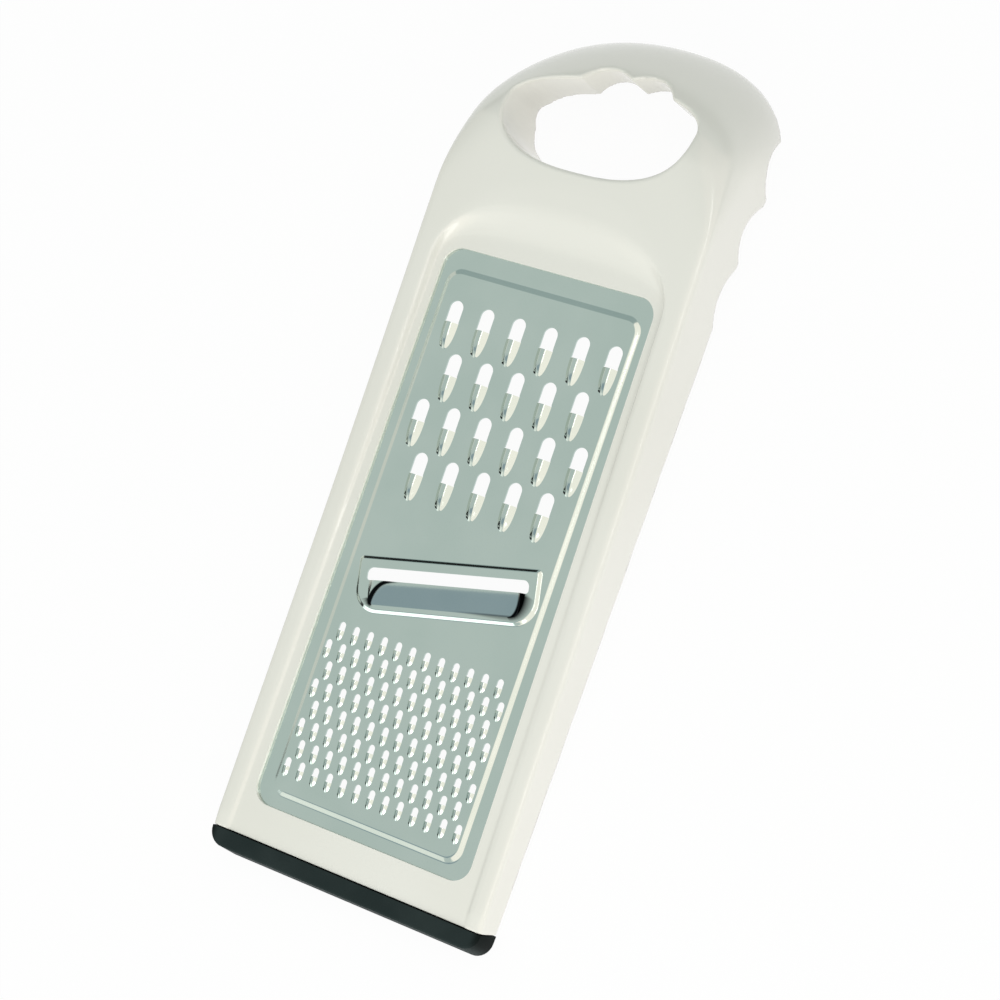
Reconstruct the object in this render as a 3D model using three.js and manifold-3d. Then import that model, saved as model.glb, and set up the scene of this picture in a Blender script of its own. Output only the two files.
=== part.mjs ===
// Flat hand grater: a moulded frame with a hand hole, a pressed steel grating plate and a rubber foot.
//
// All sizes are millimetres. The pieces are drawn on the plate: X runs across it, Y runs from the foot
// to the handle, and Z stands up from the plate's flat rim. The back edge of the frame slopes away from
// the plate and drops further along the grip, and the last step lays the grater on the table, where it
// stands on the foot and on the end of the grip.
import * as THREE from 'three';
import { ConvexGeometry } from 'three/addons/geometries/ConvexGeometry.js';
import { mergeVertices } from 'three/addons/utils/BufferGeometryUtils.js';
import Module from 'manifold-3d';

const wasm = await Module();
wasm.setup();

// Frame: the outer bar.
const BAR_LENGTH = 282;
const BAR_HALF_WIDTH = 48.7; // at the foot end
const BAR_TAPER = 0.0046; // each half narrows by this much per millimetre towards the handle
const BACK_DEPTH = 9.5; // from the plate's rim down to the back edge, at the foot end
const BACK_SLOPE = THREE.MathUtils.degToRad(2.6); // between the plate and the back edge
const GRIP_DROP = 11.3; // further drop of the back edge along the grip
const DROP_FROM_END = 82.3;
const DROP_LENGTH = 85.3;
const RAIL_HEIGHT = 2.0; // rail tops above the plate's rim, along the fine teeth
const GRIP_HEIGHT = 5.6; // height that the rail tops climb to
const RISE_START = 90; // where the rails start to climb towards the grip
const RISE_LENGTH = 211;
const RAIL_END = 5; // sloped ends of the rails, next to the foot
const NOSE_LENGTH = 39.4; // rounded end of the outline, seen from above
const NOSE_POWER = 2.3;
const DOME_LENGTH = 41.6; // rounded end of the grip, seen from the side
const DOME_POWER = 1.7;
const EDGE_POWER_RAIL = 30; // how square the bar's section is along the rails
const EDGE_POWER_NOSE = 1.6; // and past the end of the grip
const SOFTEN_FROM_END = 65.4; // where the section starts to turn from square to round
const SOFTEN_LENGTH = 82.2;
const WALL = 2.4;
const END_WALL = 2.6;

// Frame: the channel between the rails and the window for the plate.
const FLOOR_HEIGHT = 1.2; // channel floor above the plate's rim
const DECK_DROP = 2.6; // underside of the channel floor below the plate's rim
const CHANNEL_HALF_FOOT = 42.2;
const CHANNEL_HALF_GRIP = 39.2;
const CHANNEL_RUN = 1.6; // sideways lean of the channel's walls
const FLOOR_ARCH = 12; // round end of the channel floor
const FLOOR_ARCH_POWER = 3.6;
const CREST_ARCH = 27.5; // round end of the channel where it reaches the grip
const CREST_ARCH_POWER = 2.1;
const CREST_OVERRUN = 0.2; // how far the channel's walls pass the rail tops
const RAIL_WIDTH = 9.7; // from the window to the outside of the frame, at the foot end
const WINDOW_TAPER = 0.0101;
const WINDOW_FROM_FOOT = 11.2;
const WINDOW_FROM_END = 82.9;
const WINDOW_RADIUS = 6;
const ARCH_FROM_WINDOW = 7; // start of the channel's round end, before the end of the window
const GROOVE_DEPTH = 1.8; // how far the plate's rim reaches into the frame

// Frame: the hand hole and the finger waves.
const HOLE_FROM_END = 33; // widest place of the hole
const HOLE_HALF_WIDTH = 32.2;
const HOLE_ASIDE = -1.5; // the hole sits this far off the middle line
const HOLE_DROP = 19.3; // from the widest place to the edge on the plate's side
const HOLE_POWER = 2.5;
const HOLE_CORNER = 7.0; // how far the hole's ends rise past the widest place before they turn in
const KNUCKLE_RISE = 13.3; // from the widest place to the middle point between the fingers
const KNUCKLE_PITCH = 15.7;
const KNUCKLE_ASIDE = 2.5; // the middle point between the fingers sits this far off the middle line
const KNUCKLE_CURVE = 3.1; // how far the outer points lie below the middle one
const FINGER_BULGE = 3.9; // depth of each finger hollow
const HOLE_FILLET = 1.2;
const TUBE_SHORT = 5; // wall of the hole ends this far above the back edge
const TUBE_RISE = 9; // and ends higher by this along the finger hollows
const WAVE_COUNT = 3;
const WAVE_PITCH = 21.5;
const WAVE_DEPTH_FIRST = 4.0; // the wave next to the plate
const WAVE_DEPTH_LAST = 8.0; // the wave next to the end of the grip
const WAVE_LAND = 2.4; // flat left between two waves
const WAVE_FROM_END = 20.5;

// Foot.
const FOOT_LENGTH = 7.4;
const FOOT_TOE = 0.4; // the foot's base reaches this far past the end of the bar
const FOOT_LEAN = 2.0; // lean of the foot's end face
const FOOT_STAND = 0.4; // foot above the channel floor
const FOOT_CORNER = 5.2;
const FOOT_TOP_ROUND = 0.9;
const FOOT_BASE_ROUND = 0.6;
const TONGUE_LENGTH = 3.4;
const TONGUE_SKIN = 2.3; // rubber left above and below the tongue
const TONGUE_SIDE = 6.5;

// Grating plate.
const SHEET = 0.6;
const FIT_GAP = 0.3;
const RIM_SIDE = 3.2; // flat rim between the window and the raised field, at the grip end
const RIM_FOOT = 4.5;
const RIM_GRIP = 6.6;
const FIELD_RISE = 0.7;
const FIELD_RUN = 1.3;
const FIELD_RADIUS = 5;
const TEETH_MARGIN = 0.2; // clear field beside the outer teeth
const HOOD_POWER = 2.5; // how blunt the tail of a hood is

// Coarse teeth.
const COARSE_PITCH = 11.2;
const COARSE_ROW = 15.86;
const COARSE_FROM_PAN = 2; // least field between the last row and the pan
const COARSE_FROM_FIELD = 16.4; // top of the field to the cutting edges of the first row
const COARSE_ASIDE = 0.8; // the rows sit this far off the middle line
const COARSE_WIDTH = 4.6;
const COARSE_SKIN = 0.4; // stretched sheet of a hood
const COARSE_HOLE_WIDTH = 4.7;
const COARSE_HOLE = 7; // from the cutting edge to the round end of the hole
const COARSE_HOOD = 8;
const COARSE_HEIGHT = 1.9;

// Fine teeth.
const FINE_PITCH = 5.15;
const FINE_ROW = 6.33;
const FINE_FROM_PAN = 2; // least field between the pan and the first row
const FINE_FROM_FIELD = 8.9; // bottom of the field to the cutting edges of the last row
const FINE_ASIDE = -0.2;
const FINE_WIDTH = 2.1;
const FINE_SKIN = 0.3;
const FINE_HOLE_WIDTH = 2.2;
const FINE_HOLE = 2.7;
const FINE_HOOD = 3.0;
const FINE_HEIGHT = 0.9;

// Slicing blade.
const SLICER_ANGLE = THREE.MathUtils.degToRad(12.6);
const SLICER_FROM_FIELD = 78.2; // bottom of the field to the middle of the slot
const SLICER_ASIDE = 0.6;
const SLOT_WIDTH = 4.0;
const PAN_AHEAD = 5.7; // pressed pan ahead of the slot's middle
const PAN_BEHIND = 12;
const PAN_SIDE = 2.6; // pan beside the slot's ends
const PAN_CLEAR = 2.4; // field left beside the pan
const PAN_RISE = 0.8;
const PAN_RUN = 1.0;
const PAN_RADIUS = 7.5;
const PAN_TOP_RADIUS = 1.6; // corners on the handle's side
const LIP_LENGTH = 7.4;
const LIP_HEIGHT = 1.6;
const LIP_SHOULDER = 7.0; // the lip's top edge is shorter than the slot by this at its sloped end
const LIP_HEEL = 1.0; // and its tail by this
const LIP_STEEP = 2.0; // the same two sizes at its steep end
const LIP_STEEP_HEEL = 3.6;
const LIP_SAG = 0.8; // how full the lip is between its edge and its tail

// How finely round forms are divided.
const BAR_SECTION_STEPS = 18;
const BAR_RAIL_STEP = 16;
const BAR_DOME_STEPS = 12;
const DOME_LAST = 0.97; // share of the quarter turn at which the end of the bar is closed
const CHANNEL_STEPS = 5;
const CHANNEL_SIDE_STEPS = 10;
const CHANNEL_ARCH_STEPS = 24;
const HOLE_LOWER_STEPS = 18;
const HOLE_FILLET_STEPS = 3;
const CURVE_STEPS = 5;
const COARSE_STEPS = 4;
const COARSE_RINGS = 2;
const FINE_STEPS = 2;
const FINE_RINGS = 1;
const LIP_STEPS = 3;
const EDGE_TRIM = 0.1; // every cutting edge is trimmed square by this much
const CLEAR = 5; // cutting bodies reach this far past what they cut
const WELD = 1e-4;

const { clamp, lerp, smoothstep } = THREE.MathUtils;

// Places that follow from the sizes above.
const windowStart = FOOT_LENGTH + WINDOW_FROM_FOOT;
const windowEnd = BAR_LENGTH - WINDOW_FROM_END;
const archStart = windowEnd - ARCH_FROM_WINDOW;
const holeY = BAR_LENGTH - HOLE_FROM_END;
const fieldHalf = windowHalfAt(windowEnd) - RIM_SIDE;
const fieldStart = windowStart + RIM_FOOT;
const fieldEnd = windowEnd - RIM_GRIP;
const restAngle = Math.atan2(-BACK_DEPTH - backAt(BAR_LENGTH), BAR_LENGTH);

// Superellipse: the height over a point at a share of the half width.
function rounded(share, power) {
  return Math.pow(Math.max(0, 1 - Math.pow(Math.abs(share), power)), 1 / power);
}

// A number kept with its sign and raised to a power.
function signedPower(value, power) {
  return Math.sign(value) * Math.pow(Math.abs(value), power);
}

// Half width of the bar and of the window, which both narrow towards the handle.
function barHalfAt(y) {
  return BAR_HALF_WIDTH - BAR_TAPER * y;
}

function windowHalfAt(y) {
  return BAR_HALF_WIDTH - RAIL_WIDTH - WINDOW_TAPER * y;
}

// Height of the back edge, which drops away from the plate towards the handle.
function backAt(y) {
  const dropStart = BAR_LENGTH - DROP_FROM_END;
  const drop = GRIP_DROP * smoothstep(y, dropStart, dropStart + DROP_LENGTH);
  return -BACK_DEPTH - y * Math.tan(BACK_SLOPE) - drop;
}

// Height of the rail tops before the grip rounds off.
function railTopAt(y) {
  const top = lerp(RAIL_HEIGHT, GRIP_HEIGHT, smoothstep(y, RISE_START, RISE_START + RISE_LENGTH));
  const low = FLOOR_HEIGHT + FOOT_STAND;
  return lerp(low, Math.max(low, top), clamp((y - FOOT_LENGTH) / RAIL_END, 0, 1));
}

// One section of the bar: half width, back edge, top and squareness. An inset gives the hollow inside.
function barSection(y, inset) {
  const nose = clamp((y - BAR_LENGTH + NOSE_LENGTH) / (NOSE_LENGTH - inset), 0, 1);
  const dome = clamp((y - BAR_LENGTH + DOME_LENGTH) / (DOME_LENGTH - inset), 0, 1);
  const softenStart = BAR_LENGTH - SOFTEN_FROM_END;
  const soften = smoothstep(y, softenStart, softenStart + SOFTEN_LENGTH);
  const back = backAt(y);
  return {
    half: (barHalfAt(y) - inset) * rounded(nose, NOSE_POWER),
    back,
    top: back + (railTopAt(y) - inset - back) * rounded(dome, DOME_POWER),
    power: 1 / lerp(1 / EDGE_POWER_RAIL, 1 / EDGE_POWER_NOSE, soften),
  };
}

// Height of the bar's outside over a point of the plate's plane.
function barHeight(x, y) {
  const { half, back, top, power } = barSection(y, 0);
  return back + (top - back) * rounded(Math.min(1, Math.abs(x) / half), power);
}

// A closed body through rings of points, with both ends fanned shut.
function loft(rings) {
  const count = rings[0].length;
  const points = rings.flat();
  const faces = [];
  for (let ring = 0; ring < rings.length - 1; ring++) {
    for (let i = 0; i < count; i++) {
      const a = ring * count + i;
      const b = ring * count + (i + 1) % count;
      faces.push([a, b, a + count], [b, b + count, a + count]);
    }
  }
  for (const first of [0, (rings.length - 1) * count]) {
    const middle = new THREE.Vector3();
    for (let i = 0; i < count; i++) middle.add(points[first + i]);
    points.push(middle.divideScalar(count));
    for (let i = 0; i < count; i++) {
      const cap = [first + (i + 1) % count, first + i, points.length - 1];
      faces.push(first === 0 ? cap : cap.reverse());
    }
  }
  const geometry = new THREE.BufferGeometry().setFromPoints(points);
  geometry.setIndex(faces.flat());
  return geometry;
}

// Six times the signed volume of a mesh: negative when its faces point inwards.
function signedVolume(positions, triangles) {
  const corner = [new THREE.Vector3(), new THREE.Vector3(), new THREE.Vector3()];
  let sum = 0;
  for (let i = 0; i < triangles.length; i += 3) {
    corner.forEach((point, k) => point.fromArray(positions, 3 * triangles[i + k]));
    sum += corner[0].dot(corner[1].cross(corner[2]));
  }
  return sum;
}

// A solid from a closed geometry.
function solid(geometry) {
  const bare = new THREE.BufferGeometry();
  bare.setAttribute('position', geometry.getAttribute('position'));
  bare.setIndex(geometry.getIndex());
  const welded = mergeVertices(bare, WELD);
  const positions = new Float32Array(welded.getAttribute('position').array);
  const index = Array.from(welded.getIndex().array);
  const triangles = [];
  for (let i = 0; i < index.length; i += 3) {
    const [a, b, c] = index.slice(i, i + 3);
    if (a !== b && b !== c && c !== a) triangles.push(a, b, c);
  }
  if (signedVolume(positions, triangles) < 0) triangles.reverse();
  return new wasm.Manifold(new wasm.Mesh({
    numProp: 3,
    vertProperties: positions,
    triVerts: new Uint32Array(triangles),
  }));
}

// A flat outline raised from one height to another.
function raised(shape, bottom, top, steps) {
  const geometry = new THREE.ExtrudeGeometry(shape, {
    depth: top - bottom,
    bevelEnabled: false,
    curveSegments: steps,
  });
  return geometry.translate(0, 0, bottom);
}

function prism(shape, bottom, top) {
  return solid(raised(shape, bottom, top, CURVE_STEPS));
}

// A side profile, drawn with Y across and Z up, run across the whole width.
function crosswise(shape, half) {
  const geometry = new THREE.ExtrudeGeometry(shape, {
    depth: 2 * half,
    bevelEnabled: false,
    curveSegments: CURVE_STEPS,
  });
  const along = new THREE.Vector3(0, 1, 0);
  const up = new THREE.Vector3(0, 0, 1);
  const across = new THREE.Vector3(1, 0, 0);
  geometry.applyMatrix4(new THREE.Matrix4().makeBasis(along, up, across));
  return solid(geometry.translate(-half, 0, 0));
}

function boxBetween(low, high) {
  const size = new THREE.Vector3().subVectors(high, low);
  const middle = new THREE.Vector3().addVectors(low, high).divideScalar(2);
  const geometry = new THREE.BoxGeometry(size.x, size.y, size.z);
  return solid(geometry.translate(middle.x, middle.y, middle.z));
}

function joined(solids) {
  return solids.reduce((sum, next) => sum.add(next));
}

// Rectangle with round corners, as a drawn outline. Its two ends can differ in width.
function roundRectangle(half, start, end, radius, halfEnd = half, radiusEnd = radius) {
  const r = Math.min(radius, half, (end - start) / 2);
  const far = Math.min(radiusEnd, halfEnd, (end - start) / 2);
  const shape = new THREE.Shape();
  shape.moveTo(half, start + r);
  shape.lineTo(halfEnd, end - far);
  shape.absarc(halfEnd - far, end - far, far, 0, Math.PI / 2);
  shape.lineTo(-halfEnd + far, end);
  shape.absarc(-halfEnd + far, end - far, far, Math.PI / 2, Math.PI);
  shape.lineTo(-half, start + r);
  shape.absarc(-half + r, start + r, r, Math.PI, 1.5 * Math.PI);
  shape.lineTo(half - r, start);
  shape.absarc(half - r, start + r, r, 1.5 * Math.PI, 2 * Math.PI);
  return shape;
}

// Outline of the window in the frame, grown on all sides by a reach.
function windowOutline(reach) {
  const start = windowStart - reach;
  const end = windowEnd + reach;
  const half = windowHalfAt(windowStart) + reach;
  return roundRectangle(half, start, end, WINDOW_RADIUS + reach, windowHalfAt(windowEnd) + reach);
}

// The same outline at a height, as a ring of a loft.
function roundRectangleRing(half, start, end, radii, z) {
  const outline = roundRectangle(half, start, end, radii.near, half, radii.far);
  const { shape } = outline.extractPoints(CURVE_STEPS);
  const last = shape[shape.length - 1];
  const open = last.distanceTo(shape[0]) < WELD ? shape.slice(0, -1) : shape;
  return open.map((point) => new THREE.Vector3(point.x, point.y, z));
}

// Pressed step: a rectangle with round corners whose walls lean in towards its top. Below the bottom of
// the step the body goes straight on down to its root.
function pressedStep(half, start, end, radii, run, root, bottom, top) {
  return loft([
    roundRectangleRing(half, start, end, radii, root),
    roundRectangleRing(half, start, end, radii, bottom),
    roundRectangleRing(half - run, start + run, end - run, radii, top),
  ]);
}

// Outer bar of the frame, or the hollow inside it when an inset is given.
function barSolid(start, inset, drop) {
  const stations = [];
  const domeStart = BAR_LENGTH - DOME_LENGTH;
  const breaks = [start, FOOT_LENGTH, FOOT_LENGTH + RAIL_END, domeStart].filter((y) => y >= start);
  for (let i = 0; i < breaks.length - 1; i++) {
    const steps = Math.max(1, Math.round((breaks[i + 1] - breaks[i]) / BAR_RAIL_STEP));
    for (let k = 0; k < steps; k++) stations.push(lerp(breaks[i], breaks[i + 1], k / steps));
  }
  for (let k = 0; k <= BAR_DOME_STEPS; k++) {
    const turn = (k / BAR_DOME_STEPS) * DOME_LAST * Math.PI / 2;
    stations.push(domeStart + (DOME_LENGTH - inset) * Math.sin(turn));
  }
  return solid(loft(stations.map((y) => {
    const { half, back, top, power } = barSection(y, inset);
    const ring = [];
    for (let k = 0; k <= BAR_SECTION_STEPS; k++) {
      const angle = Math.PI * k / BAR_SECTION_STEPS;
      const x = k === BAR_SECTION_STEPS / 2 ? 0 : half * signedPower(Math.cos(angle), 2 / power);
      const rise = k % BAR_SECTION_STEPS === 0 ? 0 : Math.pow(Math.sin(angle), 2 / power);
      ring.push(new THREE.Vector3(x, y, back - drop + (top - back + drop) * rise));
    }
    return ring;
  })));
}

// Channel between the rails: straight walls that end in an arch below the grip. Growing it by a margin
// gives the outside of the wall and floor that stay round it.
function channelSolid(margin, floor) {
  const start = FOOT_LENGTH - CLEAR;
  const rings = [];
  for (let level = 0; level <= CHANNEL_STEPS; level++) {
    const share = level / CHANNEL_STEPS;
    const arch = lerp(FLOOR_ARCH, CREST_ARCH, share) + margin;
    const power = lerp(FLOOR_ARCH_POWER, CREST_ARCH_POWER, share);
    const halfAt = (y) => {
      const along = clamp((y - FOOT_LENGTH) / (archStart - FOOT_LENGTH), 0, 1);
      return lerp(CHANNEL_HALF_FOOT, CHANNEL_HALF_GRIP, along) + CHANNEL_RUN * share + margin;
    };
    const side = [];
    for (let k = 0; k < CHANNEL_SIDE_STEPS; k++) {
      const y = lerp(start, archStart, k / CHANNEL_SIDE_STEPS);
      side.push(new THREE.Vector2(halfAt(y), y));
    }
    const round = [];
    for (let k = 0; k <= CHANNEL_ARCH_STEPS; k++) {
      const angle = Math.PI * k / CHANNEL_ARCH_STEPS;
      const x = halfAt(archStart) * signedPower(Math.cos(angle), 2 / power);
      round.push(new THREE.Vector2(x, archStart + arch * Math.pow(Math.sin(angle), 2 / power)));
    }
    const mirrored = side.map((point) => new THREE.Vector2(-point.x, point.y)).reverse();
    const lift = smoothstep(share, 0, 1);
    rings.push([...side, ...round, ...mirrored].map(({ x, y }) => {
      const crest = railTopAt(Math.max(y, FOOT_LENGTH)) + CREST_OVERRUN;
      return new THREE.Vector3(x, y, lerp(floor, crest, lift));
    }));
  }
  const crestRing = rings[rings.length - 1];
  rings.push(crestRing.map((point) => new THREE.Vector3(point.x, point.y, GRIP_HEIGHT + 2 * CLEAR)));
  return solid(loft(rings));
}

// Outline of the hand hole, round its middle: a wide oval with finger hollows on the far side.
function holeOutline() {
  const points = [];
  for (let k = 0; k <= HOLE_LOWER_STEPS; k++) {
    const angle = Math.PI + Math.PI * k / HOLE_LOWER_STEPS;
    const x = HOLE_ASIDE + HOLE_HALF_WIDTH * signedPower(Math.cos(angle), 2 / HOLE_POWER);
    points.push(new THREE.Vector2(x, HOLE_DROP * signedPower(Math.sin(angle), 2 / HOLE_POWER)));
  }
  const knuckles = [
    new THREE.Vector2(HOLE_ASIDE + HOLE_HALF_WIDTH, 0),
    new THREE.Vector2(KNUCKLE_ASIDE + KNUCKLE_PITCH, KNUCKLE_RISE - KNUCKLE_CURVE),
    new THREE.Vector2(KNUCKLE_ASIDE, KNUCKLE_RISE),
    new THREE.Vector2(KNUCKLE_ASIDE - KNUCKLE_PITCH, KNUCKLE_RISE - KNUCKLE_CURVE),
    new THREE.Vector2(HOLE_ASIDE - HOLE_HALF_WIDTH, 0),
  ];
  for (let i = 0; i < knuckles.length - 1; i++) {
    const chord = new THREE.Vector2().subVectors(knuckles[i + 1], knuckles[i]);
    const out = new THREE.Vector2(chord.y, -chord.x).normalize();
    const isEnd = i === 0 || i === knuckles.length - 2;
    const pull = new THREE.Vector2().addVectors(knuckles[i], knuckles[i + 1]).divideScalar(2);
    if (isEnd) pull.set(HOLE_ASIDE + Math.sign(pull.x) * HOLE_HALF_WIDTH, HOLE_CORNER);
    else pull.addScaledVector(out, 2 * FINGER_BULGE);
    const curve = new THREE.QuadraticBezierCurve(knuckles[i], pull, knuckles[i + 1]);
    points.push(...curve.getPoints(CURVE_STEPS).slice(1));
  }
  return points.slice(0, -1);
}

// One ring of the hand hole, grown away from a place below its middle, at a height worked out from its own
// place.
function holeRing(outline, growth, heightAt) {
  const core = new THREE.Vector2(0, -HOLE_DROP / 3);
  return outline.map((point) => {
    const away = new THREE.Vector2().subVectors(point, core);
    const far = away.setLength(away.length() + growth).add(core);
    const y = holeY + far.y;
    return new THREE.Vector3(far.x, y, heightAt(far.x, y));
  });
}

// Hand hole with its rounded front edge.
function handHole() {
  const outline = holeOutline();
  const rings = [holeRing(outline, HOLE_FILLET, () => GRIP_HEIGHT + CLEAR)];
  for (let k = 0; k <= HOLE_FILLET_STEPS; k++) {
    const angle = (k / HOLE_FILLET_STEPS) * Math.PI / 2;
    const depth = HOLE_FILLET * (1 - Math.cos(angle)) - CREST_OVERRUN;
    const growth = HOLE_FILLET * (1 - Math.sin(angle));
    rings.push(holeRing(outline, growth, (x, y) => barHeight(x, y) - depth));
  }
  rings.push(holeRing(outline, 0, (x, y) => backAt(y) - CLEAR));
  return solid(loft(rings));
}

// Wall that stays round the hand hole inside the hollow grip.
function holeWall() {
  const outline = holeOutline();
  const endAt = (y) => backAt(y) + TUBE_SHORT + TUBE_RISE * smoothstep(y, holeY, holeY + KNUCKLE_RISE);
  return solid(loft([
    holeRing(outline, WALL, () => GRIP_HEIGHT + CLEAR),
    holeRing(outline, WALL, (x, y) => endAt(y)),
  ]));
}

// Finger waves along the back edge of both sides of the grip.
function fingerWaves() {
  const first = BAR_LENGTH - WAVE_FROM_END - WAVE_COUNT * WAVE_PITCH;
  const shape = new THREE.Shape();
  const low = backAt(BAR_LENGTH) - CLEAR;
  shape.moveTo(first, low);
  for (let i = 0; i < WAVE_COUNT; i++) {
    const start = first + i * WAVE_PITCH + WAVE_LAND / 2;
    const end = start + WAVE_PITCH - WAVE_LAND;
    const depth = lerp(WAVE_DEPTH_FIRST, WAVE_DEPTH_LAST, i / Math.max(1, WAVE_COUNT - 1));
    const top = backAt((start + end) / 2) + depth;
    const pull = (end - start) / 4;
    shape.lineTo(start, low);
    shape.lineTo(start, backAt(start));
    shape.quadraticCurveTo(start + pull, top, (start + end) / 2, top);
    shape.quadraticCurveTo(end - pull, top, end, backAt(end));
    shape.lineTo(end, low);
  }
  shape.lineTo(first + WAVE_COUNT * WAVE_PITCH, low - CLEAR);
  shape.lineTo(first, low - CLEAR);
  return crosswise(shape, BAR_HALF_WIDTH + CLEAR);
}

// Tongue of the frame that holds the foot, or its pocket when grown by a gap.
function tongue(gap) {
  const half = BAR_HALF_WIDTH - TONGUE_SIDE + gap;
  const low = backAt(0) + TONGUE_SKIN - gap;
  const high = FLOOR_HEIGHT - TONGUE_SKIN + gap;
  return boxBetween(
    new THREE.Vector3(-half, FOOT_LENGTH - TONGUE_LENGTH - gap, low),
    new THREE.Vector3(half, FOOT_LENGTH + END_WALL / 2, high),
  );
}

// Everything on one side of a plane across the bar.
function slab(start, end) {
  const reach = BAR_HALF_WIDTH + CLEAR;
  return boxBetween(
    new THREE.Vector3(-reach, start, backAt(BAR_LENGTH) - CLEAR),
    new THREE.Vector3(reach, end, GRIP_HEIGHT + CLEAR),
  );
}

function frameSolid(bar) {
  const margin = GROOVE_DEPTH + WALL;
  const hollow = barSolid(FOOT_LENGTH + END_WALL, WALL, CLEAR)
    .subtract(channelSolid(margin, -DECK_DROP))
    .subtract(holeWall());
  const window = prism(windowOutline(0), -DECK_DROP - CLEAR, FLOOR_HEIGHT + CLEAR);
  const groove = prism(windowOutline(GROOVE_DEPTH), -SHEET - FIT_GAP, FIT_GAP);
  return bar
    .intersect(slab(FOOT_LENGTH, BAR_LENGTH + CLEAR))
    .subtract(hollow)
    .subtract(channelSolid(0, FLOOR_HEIGHT))
    .subtract(window)
    .subtract(groove)
    .subtract(handHole())
    .subtract(fingerWaves())
    .add(tongue(0));
}

// One ring of the foot: flat against the frame, with round corners at the end of the grater.
function footRing(front, inset, heightAt) {
  const half = BAR_HALF_WIDTH - inset;
  const seam = FOOT_LENGTH - FIT_GAP;
  const r = Math.min(FOOT_CORNER, seam - front) - inset;
  const shape = new THREE.Shape();
  shape.moveTo(half, seam);
  shape.lineTo(-half, seam);
  shape.lineTo(-half, front + inset + r);
  shape.absarc(-half + r, front + inset + r, r, Math.PI, 1.5 * Math.PI);
  shape.absarc(half - r, front + inset + r, r, 1.5 * Math.PI, 2 * Math.PI);
  const points = shape.extractPoints(CURVE_STEPS).shape;
  return points.map(({ x, y }) => new THREE.Vector3(x, y, heightAt(y)));
}

// Rubber foot, whose base lies flat on the table.
function footSolid() {
  const top = FLOOR_HEIGHT + FOOT_STAND;
  const tableAt = (y) => -BACK_DEPTH - y * Math.tan(restAngle);
  const toe = -FOOT_TOE;
  const body = solid(loft([
    footRing(toe, FOOT_BASE_ROUND, tableAt),
    footRing(toe, 0, (y) => tableAt(y) + FOOT_BASE_ROUND),
    footRing(toe + FOOT_LEAN, 0, () => top - FOOT_TOP_ROUND),
    footRing(toe + FOOT_LEAN, FOOT_TOP_ROUND / 3, () => top - FOOT_TOP_ROUND / 3),
    footRing(toe + FOOT_LEAN, FOOT_TOP_ROUND, () => top),
  ]));
  return body.subtract(tongue(FIT_GAP));
}

// Raised hood of a tooth: a quarter of an egg with its mouth towards the handle, drawn round the middle
// of its cutting edge. Its walls go down to a root below the sheet's top, and its mouth can be drawn out
// past the cutting edge.
function hood(width, length, height, root, ahead, steps, ringCount) {
  const points = [];
  for (let ring = 0; ring <= ringCount; ring++) {
    const turn = (ring / ringCount) * Math.PI / 2;
    const size = ring === ringCount ? 0 : Math.pow(Math.cos(turn), 2 / HOOD_POWER);
    const y = -length * Math.pow(Math.sin(turn), 2 / HOOD_POWER);
    for (let k = 0; k <= steps; k++) {
      const angle = Math.PI * k / steps;
      const x = (width / 2) * size * Math.cos(angle);
      const z = k % steps === 0 ? 0 : height * size * Math.sin(angle);
      points.push(new THREE.Vector3(x, y, z));
      points.push(new THREE.Vector3(x, y, root));
      if (ring === 0 && ahead > 0) {
        points.push(new THREE.Vector3(x, ahead, z));
        points.push(new THREE.Vector3(x, ahead, root));
      }
    }
  }
  return new ConvexGeometry(points);
}

// Hole ahead of a cutting edge, with straight sides and a round end.
function mouthHole(width, length) {
  const shape = new THREE.Shape();
  const r = width / 2;
  shape.moveTo(r, -EDGE_TRIM);
  shape.lineTo(r, length - r);
  shape.absarc(0, length - r, r, 0, Math.PI);
  shape.lineTo(-r, -EDGE_TRIM);
  return shape;
}

// Teeth of one zone in staggered rows, as the hoods to add and the holes to cut.
function teeth(zone) {
  const usable = fieldHalf - FIELD_RUN - TEETH_MARGIN - zone.width / 2;
  const columns = Math.floor((2 * usable) / zone.pitch) + 1;
  const hoods = [];
  const holes = [];
  const { steps, rings } = zone;
  for (let row = 0; row < zone.rows; row++) {
    const count = row % 2 === zone.longRow ? columns : columns - 1;
    for (let column = 0; column < count; column++) {
      const x = zone.aside + (column - (count - 1) / 2) * zone.pitch;
      const y = zone.mouthY - row * zone.rowPitch;
      const outer = hood(zone.width, zone.hood, zone.height, -SHEET / 2, 0, steps, rings);
      const inner = hood(
        zone.width - 2 * zone.skin,
        zone.hood - 2 * zone.skin,
        zone.height - zone.skin,
        -2 * SHEET,
        zone.hole / 2,
        steps,
        rings,
      );
      const mouth = mouthHole(zone.holeWidth, zone.hole);
      const hole = raised(mouth, -SHEET - CLEAR, zone.height + CLEAR, steps);
      hoods.push(solid(outer.translate(x, y, FIELD_RISE)));
      holes.push(solid(inner.translate(x, y, FIELD_RISE)));
      holes.push(solid(hole.translate(x, y, FIELD_RISE)));
    }
  }
  return { hoods, holes };
}

// Half the length of the slicing blade's pan, and how far it reaches up and down the field.
const panHalf = (fieldHalf - PAN_CLEAR - FIELD_RUN) / Math.cos(SLICER_ANGLE);
const panMiddle = fieldStart + SLICER_FROM_FIELD;
const panSlant = panHalf * Math.sin(SLICER_ANGLE);
const panEnd = panMiddle + panSlant + PAN_AHEAD * Math.cos(SLICER_ANGLE);
const panStart = panMiddle - panSlant - PAN_BEHIND * Math.cos(SLICER_ANGLE);

// How many rows of teeth a stretch of the field takes, counted at their cutting edges.
function rowsWithin(stretch, rowPitch) {
  return Math.floor(stretch / rowPitch) + 1;
}

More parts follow.
